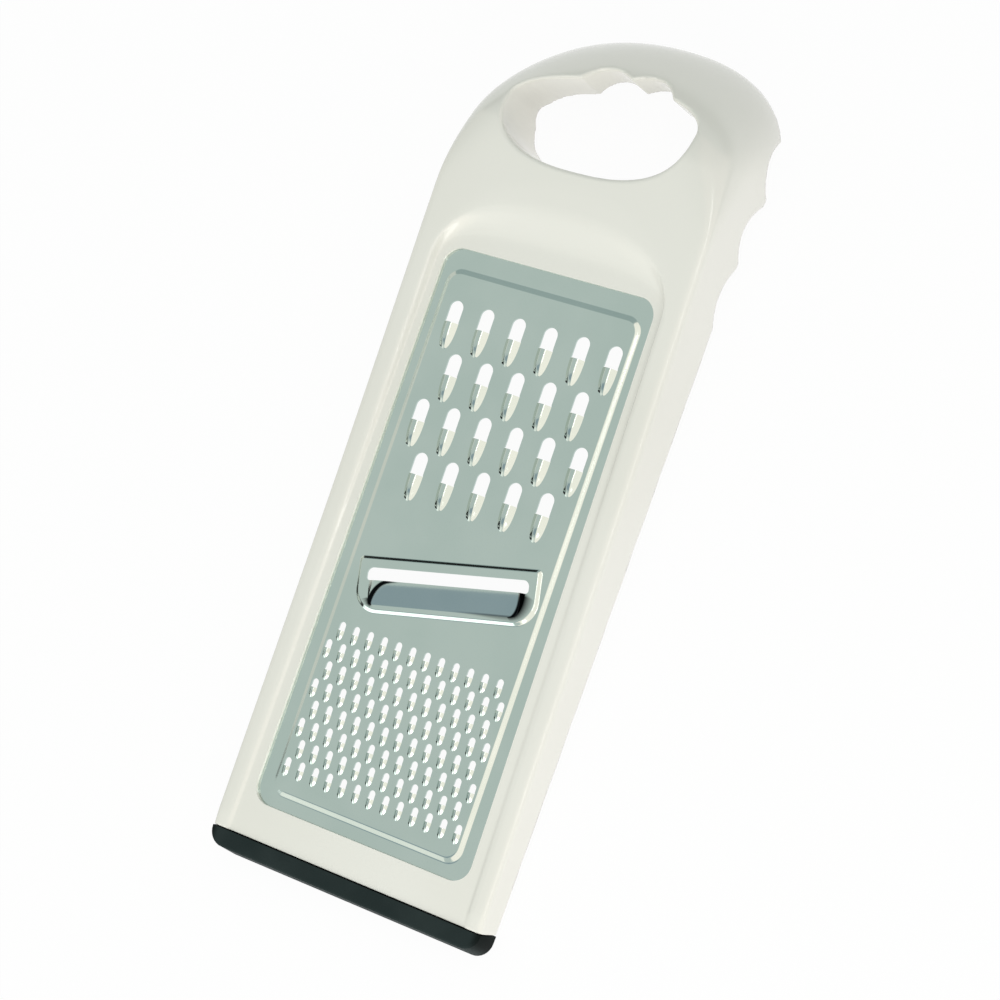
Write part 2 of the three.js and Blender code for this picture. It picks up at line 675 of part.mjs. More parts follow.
const coarseFirst = fieldEnd - COARSE_FROM_FIELD;
const coarseRows = rowsWithin(coarseFirst - COARSE_HOOD - COARSE_FROM_PAN - panEnd, COARSE_ROW);
const fineLast = fieldStart + FINE_FROM_FIELD;
const fineRows = rowsWithin(panStart - FINE_FROM_PAN - FINE_HOLE - fineLast, FINE_ROW);

const coarseZone = {
  pitch: COARSE_PITCH,
  rowPitch: COARSE_ROW,
  rows: coarseRows,
  longRow: 0,
  mouthY: coarseFirst,
  aside: COARSE_ASIDE,
  width: COARSE_WIDTH,
  holeWidth: COARSE_HOLE_WIDTH,
  hole: COARSE_HOLE,
  hood: COARSE_HOOD,
  height: COARSE_HEIGHT,
  skin: COARSE_SKIN,
  steps: COARSE_STEPS,
  rings: COARSE_RINGS,
};

const fineZone = {
  pitch: FINE_PITCH,
  rowPitch: FINE_ROW,
  rows: fineRows,
  longRow: 1,
  mouthY: fineLast + (fineRows - 1) * FINE_ROW,
  aside: FINE_ASIDE,
  width: FINE_WIDTH,
  holeWidth: FINE_HOLE_WIDTH,
  hole: FINE_HOLE,
  hood: FINE_HOOD,
  height: FINE_HEIGHT,
  skin: FINE_SKIN,
  steps: FINE_STEPS,
  rings: FINE_RINGS,
};

// Lip of the slicing blade: lifted along the slot, falling to a straight tail, with one sloped end and one
// steep end. Its mouth can be drawn out past the cutting edge.
function lipBody(ends, length, height, root, ahead) {
  const points = [];
  for (const { side, half, shoulder, heel } of ends) {
    const edge = (x, y, z) => points.push(new THREE.Vector3(side * x, y, z));
    for (let k = 0; k <= LIP_STEPS; k++) {
      const turn = (k / LIP_STEPS) * Math.PI / 2;
      const x = half - heel * (1 - Math.cos(turn));
      const y = -length * Math.sin(turn);
      const top = half - shoulder * Math.sin(turn);
      edge(x, y, 0);
      edge(x, y, root);
      edge(top, 0, height * Math.sin(turn));
      edge(top, ahead, height * Math.sin(turn));
      edge(half - shoulder, -length * (1 - Math.cos(turn)), height * (1 - k / LIP_STEPS) ** LIP_SAG);
    }
    edge(half, ahead, root);
  }
  return new ConvexGeometry(points);
}

// Slicing blade: a raised pan, a slot and a lip that lifts the cutting edge over the slot.
function slicer() {
  const slotHalf = panHalf - PAN_RUN - PAN_SIDE;
  const panTop = FIELD_RISE + PAN_RISE;
  const panRadii = { near: PAN_RADIUS, far: PAN_TOP_RADIUS };
  const lipEdge = -SLOT_WIDTH / 2;
  const placed = (geometry) => {
    geometry.rotateZ(SLICER_ANGLE);
    return solid(geometry.translate(SLICER_ASIDE, panMiddle, 0));
  };
  const pan = (drop, root) => pressedStep(
    panHalf, -PAN_BEHIND, PAN_AHEAD, panRadii, PAN_RUN, root, FIELD_RISE - drop, panTop - drop,
  );
  const slot = roundRectangle(slotHalf, lipEdge, -lipEdge, SLOT_WIDTH / 2);
  const lipEnds = (skin) => [
    { side: -1, half: slotHalf - skin * LIP_SHOULDER / LIP_HEIGHT, shoulder: LIP_SHOULDER, heel: LIP_HEEL },
    { side: 1, half: slotHalf - skin * LIP_STEEP / LIP_HEIGHT, shoulder: LIP_STEEP, heel: LIP_STEEP_HEEL },
  ];
  const lip = lipBody(lipEnds(0), LIP_LENGTH, LIP_HEIGHT, -SHEET / 2, 0);
  const hollow = lipBody(
    lipEnds(SHEET), LIP_LENGTH - 2 * SHEET, LIP_HEIGHT - SHEET, -2 * SHEET, SLOT_WIDTH / 2,
  );
  return {
    pan: placed(pan(0, FIELD_RISE - SHEET / 2)),
    panHollow: placed(pan(SHEET, -CLEAR)),
    slot: placed(raised(slot, -CLEAR, panTop + CLEAR, CURVE_STEPS)),
    lip: placed(lip.translate(0, lipEdge + EDGE_TRIM, panTop)),
    lipHollow: placed(hollow.translate(0, lipEdge + EDGE_TRIM, panTop)),
  };
}

function plateSolid() {
  const blank = prism(windowOutline(GROOVE_DEPTH - FIT_GAP), -SHEET, 0);
  const fieldRadii = { near: FIELD_RADIUS, far: FIELD_RADIUS };
  const field = (drop, root) => solid(pressedStep(
    fieldHalf, fieldStart, fieldEnd, fieldRadii, FIELD_RUN, root, -drop, FIELD_RISE - drop,
  ));
  const blade = slicer();
  const coarse = teeth(coarseZone);
  const fine = teeth(fineZone);
  return joined([blank, field(0, -SHEET / 2), blade.pan])
    .subtract(field(SHEET, -CLEAR))
    .subtract(blade.panHollow)
    .add(joined([blade.lip, ...coarse.hoods, ...fine.hoods]))
    .subtract(joined([blade.slot, blade.lipHollow, ...coarse.holes, ...fine.holes]));
}

function piece(name, body, material) {
  const { vertProperties, triVerts } = body.getMesh();
  const geometry = new THREE.BufferGeometry();
  geometry.setAttribute('position', new THREE.BufferAttribute(vertProperties, 3));
  geometry.setIndex(new THREE.BufferAttribute(triVerts, 1));
  geometry.computeVertexNormals();
  const mesh = new THREE.Mesh(geometry, material);
  mesh.name = name;
  return mesh;
}

const ivoryPlastic = new THREE.MeshStandardMaterial({ color: 0xe2e1d6, roughness: 0.28, metalness: 0 });
const brightSteel = new THREE.MeshStandardMaterial({ color: 0xb4c0bb, roughness: 0.2, metalness: 1 });
const blackRubber = new THREE.MeshStandardMaterial({ color: 0x1d2222, roughness: 0.55, metalness: 0 });

const bar = barSolid(-CLEAR, 0, 0);
const deck = new THREE.Group();
deck.add(piece('frame', frameSolid(bar), ivoryPlastic));
deck.add(piece('grating_plate', plateSolid(), brightSteel));
deck.add(piece('non_slip_foot', footSolid(), blackRubber));
deck.rotation.x = restAngle;

// The finished grater lies on its foot and the end of its grip.
// The middle of its outline is over the origin.
const grater = new THREE.Group();
grater.add(deck);
grater.updateMatrixWorld(true);
const outline = new THREE.Box3().setFromObject(grater, true);
const middle = outline.getCenter(new THREE.Vector3());
deck.position.set(-middle.x, -middle.y, -outline.min.z);
grater.updateMatrixWorld(true);

export default grater;
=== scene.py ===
"""Flat hand grater: ivory moulded frame, pressed steel grating plate and black rubber foot.

The pieces are drawn in millimetres on the plate's deck: X across, Y from the foot to the handle, Z up from
the plate's flat rim. One matrix then lays them on the table, in metres, where the solids of the frame lie.
"""
import math

import bpy
import numpy as np
from mathutils import Matrix, Vector
from mathutils.geometry import delaunay_2d_cdt


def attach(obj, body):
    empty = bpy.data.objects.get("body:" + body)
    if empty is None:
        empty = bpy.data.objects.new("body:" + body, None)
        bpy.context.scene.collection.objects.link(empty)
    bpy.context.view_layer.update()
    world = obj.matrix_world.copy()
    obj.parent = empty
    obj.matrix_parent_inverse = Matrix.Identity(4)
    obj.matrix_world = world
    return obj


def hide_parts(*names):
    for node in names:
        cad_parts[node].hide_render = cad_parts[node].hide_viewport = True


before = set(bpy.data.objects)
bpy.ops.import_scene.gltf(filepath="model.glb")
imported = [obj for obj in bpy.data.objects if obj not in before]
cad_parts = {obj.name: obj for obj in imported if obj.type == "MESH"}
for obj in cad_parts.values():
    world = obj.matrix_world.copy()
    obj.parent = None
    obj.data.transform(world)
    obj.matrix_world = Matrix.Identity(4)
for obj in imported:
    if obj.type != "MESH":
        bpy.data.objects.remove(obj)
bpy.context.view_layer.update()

scene = bpy.context.scene

# How the deck lies on the table.
MILLIMETRE = 0.001
DECK_TILT = math.radians(4.8775)
DECK_PLACE = Vector((0.0, -0.14207, 0.009475))

# Frame: the outer bar.
BAR_LENGTH = 282.0
BAR_HALF_WIDTH = 48.7
BAR_TAPER = 0.0046
BACK_DEPTH = 9.5
BACK_SLOPE = math.tan(math.radians(2.6))
GRIP_DROP = 11.3
DROP_FROM_END = 82.3
DROP_LENGTH = 85.3
RAIL_HEIGHT = 2.0
GRIP_HEIGHT = 5.6
RISE_START = 90.0
RISE_LENGTH = 211.0
RAIL_END = 5.0
NOSE_LENGTH = 39.4
NOSE_POWER = 2.3
DOME_LENGTH = 41.6
DOME_POWER = 1.7
NEAR_TIP = 0.9995
EDGE_POWER_RAIL = 30.0
EDGE_POWER_NOSE = 1.6
SOFTEN_FROM_END = 65.4
SOFTEN_LENGTH = 82.2
WALL = 2.4
END_WALL = 2.6

# Frame: the channel and the window.
FLOOR_HEIGHT = 1.2
DECK_DROP = 2.6
CHANNEL_HALF_FOOT = 42.2
CHANNEL_HALF_GRIP = 39.2
CHANNEL_RUN = 1.6
FLOOR_ARCH = 12.0
FLOOR_ARCH_POWER = 3.6
CREST_ARCH = 27.5
CREST_ARCH_POWER = 2.1
CREST_OVERRUN = 0.2
RAIL_WIDTH = 9.7
WINDOW_TAPER = 0.0101
WINDOW_FROM_FOOT = 11.2
WINDOW_FROM_END = 82.9
WINDOW_RADIUS = 6.0
ARCH_FROM_WINDOW = 7.0
GROOVE_DEPTH = 1.8
GROOVE_TOP = 0.03

# Frame: the hand hole and the finger waves.
HOLE_FROM_END = 33.0
HOLE_HALF_WIDTH = 32.2
HOLE_ASIDE = -1.5
HOLE_DROP = 19.3
HOLE_POWER = 2.5
HOLE_CORNER = 7.0
KNUCKLE_RISE = 13.3
KNUCKLE_PITCH = 15.7
KNUCKLE_ASIDE = 2.5
KNUCKLE_CURVE = 3.1
FINGER_BULGE = 3.9
HOLE_FILLET = 1.2
TUBE_SHORT = 5.0
TUBE_RISE = 9.0
WAVE_COUNT = 3
WAVE_PITCH = 21.5
WAVE_DEPTH_FIRST = 4.0
WAVE_DEPTH_LAST = 8.0
WAVE_LAND = 2.4
WAVE_FROM_END = 20.5

# Frame: rounded edges of the moulding.
RAIL_ROUND = 1.1
CREST_ROUND = 0.9
BACK_ROUND = 0.7
SEAM_ROUND = 0.4

# Foot.
FOOT_LENGTH = 7.4
FOOT_TOE = 0.4
FOOT_LEAN = 2.0
FOOT_STAND = 0.4
FOOT_CORNER = 5.2
FOOT_TOP_ROUND = 0.9
FOOT_BASE_ROUND = 0.6
# Where the foot's ends start and finish being painted darker: painted shade on its end faces.
FOOT_PAINTED_SHADE_START = 0.0455
FOOT_PAINTED_SHADE_END = 0.0485

# Grating plate.
SHEET = 0.6
LEVEL_STEP = 0.001
FIT_GAP = 0.3
RIM_SIDE = 3.2
RIM_FOOT = 4.5
RIM_GRIP = 6.6
FIELD_RISE = 0.6
FIELD_RUN = 1.3
FIELD_SPREAD = 0.6
FIELD_RADIUS = 5.0
TEETH_MARGIN = 0.2
HOOD_POWER = 2.5
HOOD_FLAT = 0.22
HOOD_BEND = 0.2
HOOD_FALL = 3.0
HOOD_TAIL = 1.1
MOUTH_FLARE = 0.5
LEAST_CORNER = 0.3

# Coarse teeth.
COARSE_PITCH = 11.2
COARSE_ROW = 15.86
COARSE_ROWS = 4
COARSE_LONG_ROW = 0
COARSE_FROM_FIELD = 16.4
COARSE_ASIDE = 0.8
COARSE_WIDTH = 5.0
COARSE_HOLE_WIDTH = 4.7
COARSE_HOLE = 7.0
COARSE_HOOD = 8.4
COARSE_HEIGHT = 1.65
COARSE_SKIN = 0.6

# Fine teeth.
FINE_PITCH = 5.15
FINE_ROW = 6.33
FINE_ROWS = 8
FINE_LONG_ROW = 1
FINE_FROM_FIELD = 8.9
FINE_ASIDE = -0.2
FINE_WIDTH = 2.4
FINE_HOLE_WIDTH = 2.2
FINE_HOLE = 2.7
FINE_HOOD = 3.2
FINE_HEIGHT = 0.8
FINE_SKIN = 0.45

# Slicing blade.
SLICER_ANGLE = math.radians(12.6)
SLICER_FROM_FIELD = 78.2
SLICER_ASIDE = 0.6
SLOT_WIDTH = 4.0
PAN_AHEAD = 5.7
PAN_BEHIND = 12.0
PAN_SIDE = 2.3
PAN_CLEAR = 2.4
PAN_RISE = 0.8
PAN_RUN = 1.3
PAN_RADIUS = 7.5
PAN_TOP_RADIUS = 1.6
LIP_LENGTH = 7.4
LIP_HEIGHT = 1.6
LIP_SHOULDER = 7.0
LIP_HEEL = 1.0
LIP_STEEP = 1.3
LIP_STEEP_HEEL = 3.6
LIP_BEND = 0.6
LIP_STEEP_BEND = 0.1
LIP_CURVE = 2.4
LIP_FALL = 0.9
LIP_TURN = 2.2
LIP_FROM_SLOT_END = 1.0

# Painted dark reflections on the lip: bands coloured near black where the steel would mirror dark things.
BAND_LENGTH = 9.4
BAND_BOW = 2.6
BAND_HALF_START = 0.75
BAND_HALF_END = 0.3
BAND_EDGE = 0.3
BAND_FADE_FROM = 0.8
BAND_FADE = 0.4
STEEP_BAND = 1.1
STEEP_BAND_EDGE = 0.5
TAIL_DARK = 0.6
TAIL_BAND_FROM = 0.92
TAIL_BAND_EDGE = 0.05
TAIL_BAND_START = 26.0
TAIL_BAND_RUN = 16.0

# How finely the surfaces are drawn: grid lines as start, end and spacing, and steps round curves.
GRID_ACROSS = ((-50, -26, 0.6), (-26, 26, 0.9), (26, 50, 0.6))
GRID_ALONG = ((6, 14, 0.6), (14, 190, 1.2), (190, 220, 0.9), (220, 284, 0.6))
GRID_UPWARD = ((-37, -4, 1.1), (-4, 7.5, 0.45))
NET_PULLS = 4
NET_REACH = 0.4
NET_SPARE = 0.2
LEAST_SLOPE = 0.004
LEAST_SQUARE = 0.05
CHANNEL_HALVINGS = 22
CHANNEL_LEAST = -1.0
CHANNEL_MOST = 3.0
LEAST_ARCH = 1.0
CUT_PAST = 5.0
MOULDING_SHARP = math.radians(50)
EDGE_SHARP = math.radians(40)
COARSE_STEPS = (26, 14)
FINE_STEPS = (16, 8)

# Places that follow from the sizes.
WINDOW_START = FOOT_LENGTH + WINDOW_FROM_FOOT
WINDOW_END = BAR_LENGTH - WINDOW_FROM_END
ARCH_START = WINDOW_END - ARCH_FROM_WINDOW
HOLE_Y = BAR_LENGTH - HOLE_FROM_END
FIELD_START = WINDOW_START + RIM_FOOT
FIELD_END = WINDOW_END - RIM_GRIP
FIELD_HALF = BAR_HALF_WIDTH - RAIL_WIDTH - WINDOW_TAPER * WINDOW_END - RIM_SIDE


def deck_matrix():
    turn = Matrix.Rotation(DECK_TILT, 4, "X")
    return Matrix.Translation(DECK_PLACE) @ turn @ Matrix.Scale(MILLIMETRE, 4)


DECK = deck_matrix()


# Camera at the photograph's viewing angle.
CAMERA_LENS = 91.58
CAMERA_SENSOR = 36.0
CAMERA_PLACE = (0.35292, -0.09444, 0.69343)
CAMERA_TURN = (15.974, 23.015, 22.988)


def make_camera():
    data = bpy.data.cameras.new("camera")
    data.lens = CAMERA_LENS
    data.sensor_width = CAMERA_SENSOR
    camera = bpy.data.objects.new("camera", data)
    camera.location = CAMERA_PLACE
    camera.rotation_euler = [math.radians(angle) for angle in CAMERA_TURN]
    scene.collection.objects.link(camera)
    scene.camera = camera


make_camera()


# Shader maths.
class Wire:
    """One socket of a node tree. Operators on it add Math nodes."""

    def __init__(self, tree, socket=None):
        self.tree = tree
        self.socket = socket

    def make(self, kind, settings=None, inputs=None, output=0):
        node = self.tree.nodes.new(kind)
        for name, value in (settings or {}).items():
            setattr(node, name, value)
        for name, value in (inputs or {}).items():
            if isinstance(value, Wire):
                self.tree.links.new(value.socket, node.inputs[name])
            else:
                node.inputs[name].default_value = value
        return Wire(self.tree, node.outputs[output] if node.outputs else None)

    def math(self, operation, first, second=0.0):
        return self.make("ShaderNodeMath", {"operation": operation}, {0: first, 1: second})

    def __add__(self, other):
        return self.math("ADD", self, other)

    def __radd__(self, other):
        return self.math("ADD", other, self)

    def __sub__(self, other):
        return self.math("SUBTRACT", self, other)

    def __rsub__(self, other):
        return self.math("SUBTRACT", other, self)

    def __mul__(self, other):
        return self.math("MULTIPLY", self, other)

    def __rmul__(self, other):
        return self.math("MULTIPLY", other, self)

    def ease(self, low, high):
        settings = {"interpolation_type": "SMOOTHSTEP"}
        return self.make("ShaderNodeMapRange", settings, {0: self, 1: low, 2: high})

    def between(self, first, second):
        """The colour between two colours, mixed by this value."""
        settings = {"data_type": "RGBA"}
        return self.make("ShaderNodeMix", settings, {0: self, 6: first, 7: second}, 2)


def start_material(name):
    material = bpy.data.materials.new(name)
    material.use_nodes = True
    tree = material.node_tree
    tree.nodes.clear()
    return material, Wire(tree)


def object_noise(wire, stretch, scale, detail):
    """Noise in the object's own metres, stretched along the axes."""
    place = wire.make("ShaderNodeTexCoord", output="Object")
    shaped = wire.make("ShaderNodeVectorMath", {"operation": "MULTIPLY"}, {0: place, 1: stretch})
    return wire.make("ShaderNodeTexNoise", {}, {"Vector": shaped, "Scale": scale, "Detail": detail}, "Fac")


def finish_surface(wire, sockets):
    shader = wire.make("ShaderNodeBsdfPrincipled", {}, sockets)
    wire.make("ShaderNodeOutputMaterial", {}, {"Surface": shader})


def ivory_plastic():
    material, wire = start_material("ivory_plastic")
    cloud = object_noise(wire, (1, 1, 1), 14.0, 2.0)
    peel = object_noise(wire, (1, 1, 1), 420.0, 1.0)
    colour = cloud.ease(0.3, 0.7).between((0.795, 0.78, 0.725, 1), (0.82, 0.805, 0.755, 1))
    bump = wire.make("ShaderNodeBump", {}, {"Strength": 0.03, "Distance": 0.0004, "Height": peel})
    finish_surface(wire, {
        "Base Color": colour,
        "Roughness": 0.12 + 0.06 * cloud,
        "Normal": bump,
        "IOR": 1.5,
    })
    return material


def bright_steel():
    material, wire = start_material("bright_steel")
    smudge = object_noise(wire, (1, 1, 1), 45.0, 3.0)
    brush = object_noise(wire, (1, 0.02, 1), 2600.0, 2.0)
    colour = smudge.ease(0.35, 0.7).between((0.535, 0.635, 0.602, 1), (0.565, 0.66, 0.627, 1))
    # Painted dark reflections: where the lip's bands are, the steel is coloured near black, standing in for
    # dark things it would mirror.
    painted_dark_reflection = wire.make("ShaderNodeAttribute", {"attribute_name": "painted_dark_reflection"}, output="Fac")
    colour = painted_dark_reflection.between(colour, (0.004, 0.005, 0.006, 1))
    bump = wire.make("ShaderNodeBump", {}, {"Strength": 0.015, "Distance": 0.0001, "Height": brush})
    finish_surface(wire, {
        "Base Color": colour,
        "Metallic": 1.0,
        "Roughness": 0.07 + 0.04 * smudge + 0.02 * brush,
        "Normal": bump,
    })
    return material


def black_rubber():
    material, wire = start_material("black_rubber")
    dust = object_noise(wire, (1, 1, 1), 60.0, 3.0)
    grain = object_noise(wire, (1, 1, 1), 2400.0, 2.0)
    colour = dust.ease(0.35, 0.75).between((0.017, 0.026, 0.026, 1), (0.025, 0.0355, 0.0355, 1))
    # Painted shade: the rubber is coloured darker towards the foot's ends, standing in for the shade of its
    # end faces.
    place = wire.make("ShaderNodeTexCoord", output="Object")
    across = wire.make("ShaderNodeSeparateXYZ", {}, {"Vector": place}, "X")
    ends = wire.math("ABSOLUTE", across).ease(FOOT_PAINTED_SHADE_START, FOOT_PAINTED_SHADE_END)
    colour = ends.between(colour, (0.005, 0.008, 0.0075, 1))
    bump = wire.make("ShaderNodeBump", {}, {"Strength": 0.15, "Distance": 0.0002, "Height": grain})
    finish_surface(wire, {
        "Base Color": colour,
        "Roughness": 0.5 + 0.15 * dust,
        "Normal": bump,
        "Specular IOR Level": 0.03,
    })
    return material


# Shapes in deck millimetres.
def blend(low, high, share):
    return low + (high - low) * share


def ease(value, start, length):
    share = np.clip((value - start) / length, 0.0, 1.0)
    return share * share * (3.0 - 2.0 * share)


def rounded(share, power):
    return np.power(np.maximum(0.0, 1.0 - np.power(np.abs(share), power)), 1.0 / power)


def round_meet(first, second, radius):
    """Two bodies' distances to the distance of what they share, with a round edge."""
    corner = np.hypot(np.maximum(first + radius, 0.0), np.maximum(second + radius, 0.0))
    return np.minimum(np.maximum(first, second), -radius) + corner


def bar_half(y):
    return BAR_HALF_WIDTH - BAR_TAPER * y


def window_half(y):
    return BAR_HALF_WIDTH - RAIL_WIDTH - WINDOW_TAPER * y


def back_height(y):
    drop = GRIP_DROP * ease(y, BAR_LENGTH - DROP_FROM_END, DROP_LENGTH)
    return -BACK_DEPTH - y * BACK_SLOPE - drop


def rail_top(y):
    top = blend(RAIL_HEIGHT, GRIP_HEIGHT, ease(y, RISE_START, RISE_LENGTH))
    low = FLOOR_HEIGHT + FOOT_STAND
    return blend(low, np.maximum(low, top), np.clip((y - FOOT_LENGTH) / RAIL_END, 0.0, 1.0))


def bar_section(y):
    nose = np.clip((y - BAR_LENGTH + NOSE_LENGTH) / NOSE_LENGTH, 0.0, NEAR_TIP)
    dome = np.clip((y - BAR_LENGTH + DOME_LENGTH) / DOME_LENGTH, 0.0, NEAR_TIP)
    back = back_height(y)
    half = bar_half(y) * rounded(nose, NOSE_POWER)
    tall = (rail_top(y) - back) * rounded(dome, DOME_POWER)
    soften = ease(y, BAR_LENGTH - SOFTEN_FROM_END, SOFTEN_LENGTH)
    power = 1.0 / blend(1.0 / EDGE_POWER_RAIL, 1.0 / EDGE_POWER_NOSE, soften)
    return half, back, tall, power


def bar_gauge(x, y, z):
    """1 on the outside of the bar and less within it."""
    half, back, tall, power = bar_section(y)
    across = np.power(np.abs(x) / half, power)
    up = np.power(np.maximum(z - back, 0.0) / tall, power)
    return np.power(across + up, 1.0 / power)


def bar_distance(x, y, z, step=0.05):
    gauge = bar_gauge(x, y, z)
    slope_x = (bar_gauge(x + step, y, z) - gauge) / step
    slope_y = (bar_gauge(x, y + step, z) - gauge) / step
    slope_z = (bar_gauge(x, y, z + step) - gauge) / step
    slope = np.sqrt(slope_x ** 2 + slope_y ** 2 + slope_z ** 2)
    half, back, tall, _ = bar_section(y)
    edges = round_meet(np.abs(x) - half, z - back - tall, RAIL_ROUND)
    return np.maximum((gauge - 1.0) / np.maximum(slope, LEAST_SLOPE), edges)


def channel_share(x, y, margin):
    """0 on the channel's floor outline and 1 on its crest outline, in between on its leaning wall."""
    along = np.clip((y - FOOT_LENGTH) / (ARCH_START - FOOT_LENGTH), 0.0, 1.0)
    half = blend(CHANNEL_HALF_FOOT, CHANNEL_HALF_GRIP, along) + margin
    beyond = np.maximum(y - ARCH_START, 0.0)
    low = np.full(np.broadcast(x, y).shape, CHANNEL_LEAST)
    high = np.full(low.shape, CHANNEL_MOST)
    for _ in range(CHANNEL_HALVINGS):
        share = (low + high) / 2.0
        held = np.clip(share, 0.0, 1.0)
        power = blend(FLOOR_ARCH_POWER, CREST_ARCH_POWER, held)
        arch = np.maximum(blend(FLOOR_ARCH, CREST_ARCH, share) + margin, LEAST_ARCH)
        reach = np.power(np.abs(x) / (half + CHANNEL_RUN * share), power) + np.power(beyond / arch, power)
        outside = reach > 1.0
        low = np.where(outside, share, low)
        high = np.where(outside, high, share)
    return (low + high) / 2.0


def channel_height(x, y, margin, floor):
    share = channel_share(x, y, margin)
    crest = rail_top(np.maximum(y, FOOT_LENGTH)) + CREST_OVERRUN
    lift = blend(floor, crest, ease(share, 0.0, 1.0))
    return lift + np.maximum(share - 1.0, 0.0) * CHANNEL_RUN


def under_channel(x, y, z, margin, floor, step=0.05):
    """Distance above the channel's surface."""
    height = channel_height(x, y, margin, floor)
    slope_x = (channel_height(x + step, y, margin, floor) - height) / step
    slope_y = (channel_height(x, y + step, margin, floor) - height) / step
    return (z - height) / np.sqrt(1.0 + slope_x ** 2 + slope_y ** 2)


def signed_power(value, power):
    return math.copysign(abs(value) ** power, value)


def hole_outline(lower_steps=48, finger_steps=12):
    """Points round the hand hole: a wide oval with finger hollows on the far side."""
    points = []
    for k in range(lower_steps + 1):
        angle = math.pi + math.pi * k / lower_steps
        x = HOLE_ASIDE + HOLE_HALF_WIDTH * signed_power(math.cos(angle), 2 / HOLE_POWER)
        points.append(Vector((x, HOLE_DROP * signed_power(math.sin(angle), 2 / HOLE_POWER))))
    knuckles = [
        Vector((HOLE_ASIDE + HOLE_HALF_WIDTH, 0.0)),
        Vector((KNUCKLE_ASIDE + KNUCKLE_PITCH, KNUCKLE_RISE - KNUCKLE_CURVE)),
        Vector((KNUCKLE_ASIDE, KNUCKLE_RISE)),
        Vector((KNUCKLE_ASIDE - KNUCKLE_PITCH, KNUCKLE_RISE - KNUCKLE_CURVE)),
        Vector((HOLE_ASIDE - HOLE_HALF_WIDTH, 0.0)),
    ]
    for i, (start, end) in enumerate(zip(knuckles, knuckles[1:])):
        chord = end - start
        out = Vector((chord.y, -chord.x)).normalized()
        pull = (start + end) / 2 + out * 2 * FINGER_BULGE
        if i in (0, len(knuckles) - 2):
            pull = Vector((HOLE_ASIDE + math.copysign(HOLE_HALF_WIDTH, pull.x), HOLE_CORNER))
        for k in range(1, finger_steps + 1):
            t = k / finger_steps
            points.append(start * (1 - t) ** 2 + pull * 2 * t * (1 - t) + end * t * t)
    return [(point.x, point.y + HOLE_Y) for point in points[:-1]]


HOLE_OUTLINE = hole_outline()


def hole_distance(x, y):
    """Distance outside the hand hole's outline, negative inside it."""
    nearest = np.full(np.broadcast(x, y).shape, 1e9)
    inside = np.zeros(nearest.shape, bool)
    for (ax, ay), (bx, by) in zip(HOLE_OUTLINE, HOLE_OUTLINE[1:] + HOLE_OUTLINE[:1]):
        length = (bx - ax) ** 2 + (by - ay) ** 2
        along = np.clip(((x - ax) * (bx - ax) + (y - ay) * (by - ay)) / length, 0.0, 1.0)
        away = (x - ax - along * (bx - ax)) ** 2 + (y - ay - along * (by - ay)) ** 2
        nearest = np.minimum(nearest, away)
        if ay != by:
            crosses = (ay > y) != (by > y)
            inside ^= crosses & (x < ax + (y - ay) * (bx - ax) / (by - ay))
    return np.where(inside, -1.0, 1.0) * np.sqrt(nearest)


def belly_height(y):
    """Height of the back edge with the finger waves along the grip."""
    wave = np.zeros(np.shape(y))
    first = BAR_LENGTH - WAVE_FROM_END - WAVE_COUNT * WAVE_PITCH
    half = (WAVE_PITCH - WAVE_LAND) / 2
    for i in range(WAVE_COUNT):
        middle = first + (i + 0.5) * WAVE_PITCH
        depth = blend(WAVE_DEPTH_FIRST, WAVE_DEPTH_LAST, i / (WAVE_COUNT - 1))
        wave = wave + depth * np.maximum(0.0, 1.0 - ((y - middle) / half) ** 2)
    return back_height(y) + wave


def frame_body(x, y, z, step=0.05):
    """Distance outside the moulding, negative within its walls."""
    bar = bar_distance(x, y, z)
    top = round_meet(bar, under_channel(x, y, z, 0.0, FLOOR_HEIGHT), CREST_ROUND)
    hole = hole_distance(x, y)
    front = round_meet(top, -hole, HOLE_FILLET)
    deck = under_channel(x, y, z, GROOVE_DEPTH + WALL, -DECK_DROP)
    hollow = np.maximum(np.maximum(bar + WALL, deck), FOOT_LENGTH + END_WALL - y)
    tube_end = back_height(y) + TUBE_SHORT + TUBE_RISE * ease(y, HOLE_Y, KNUCKLE_RISE)
    tube = np.maximum(hole - WALL, tube_end - z)
    shell = np.maximum(front, -np.maximum(hollow, -tube))
    belly = belly_height(y)
    slope = (belly_height(y + step) - belly) / step
    shell = round_meet(shell, (belly - z) / np.sqrt(1.0 + slope ** 2), BACK_ROUND)
    return round_meet(shell, FOOT_LENGTH - y, SEAM_ROUND)


def spaced(stops):
    """Grid lines through stops of (start, end, spacing)."""
    lines = []
    for start, end, spacing in stops:
        count = max(1, round((end - start) / spacing))
        lines.extend(np.linspace(start, end, count, endpoint=False))
    lines.append(stops[-1][1])
    return np.array(lines)


def slopes(body, points, values, step=0.02):
    columns = []
    for axis in range(3):
        moved = points.copy()
        moved[:, axis] += step
        columns.append((body(*moved.T) - values) / step)
    return np.stack(columns, 1)


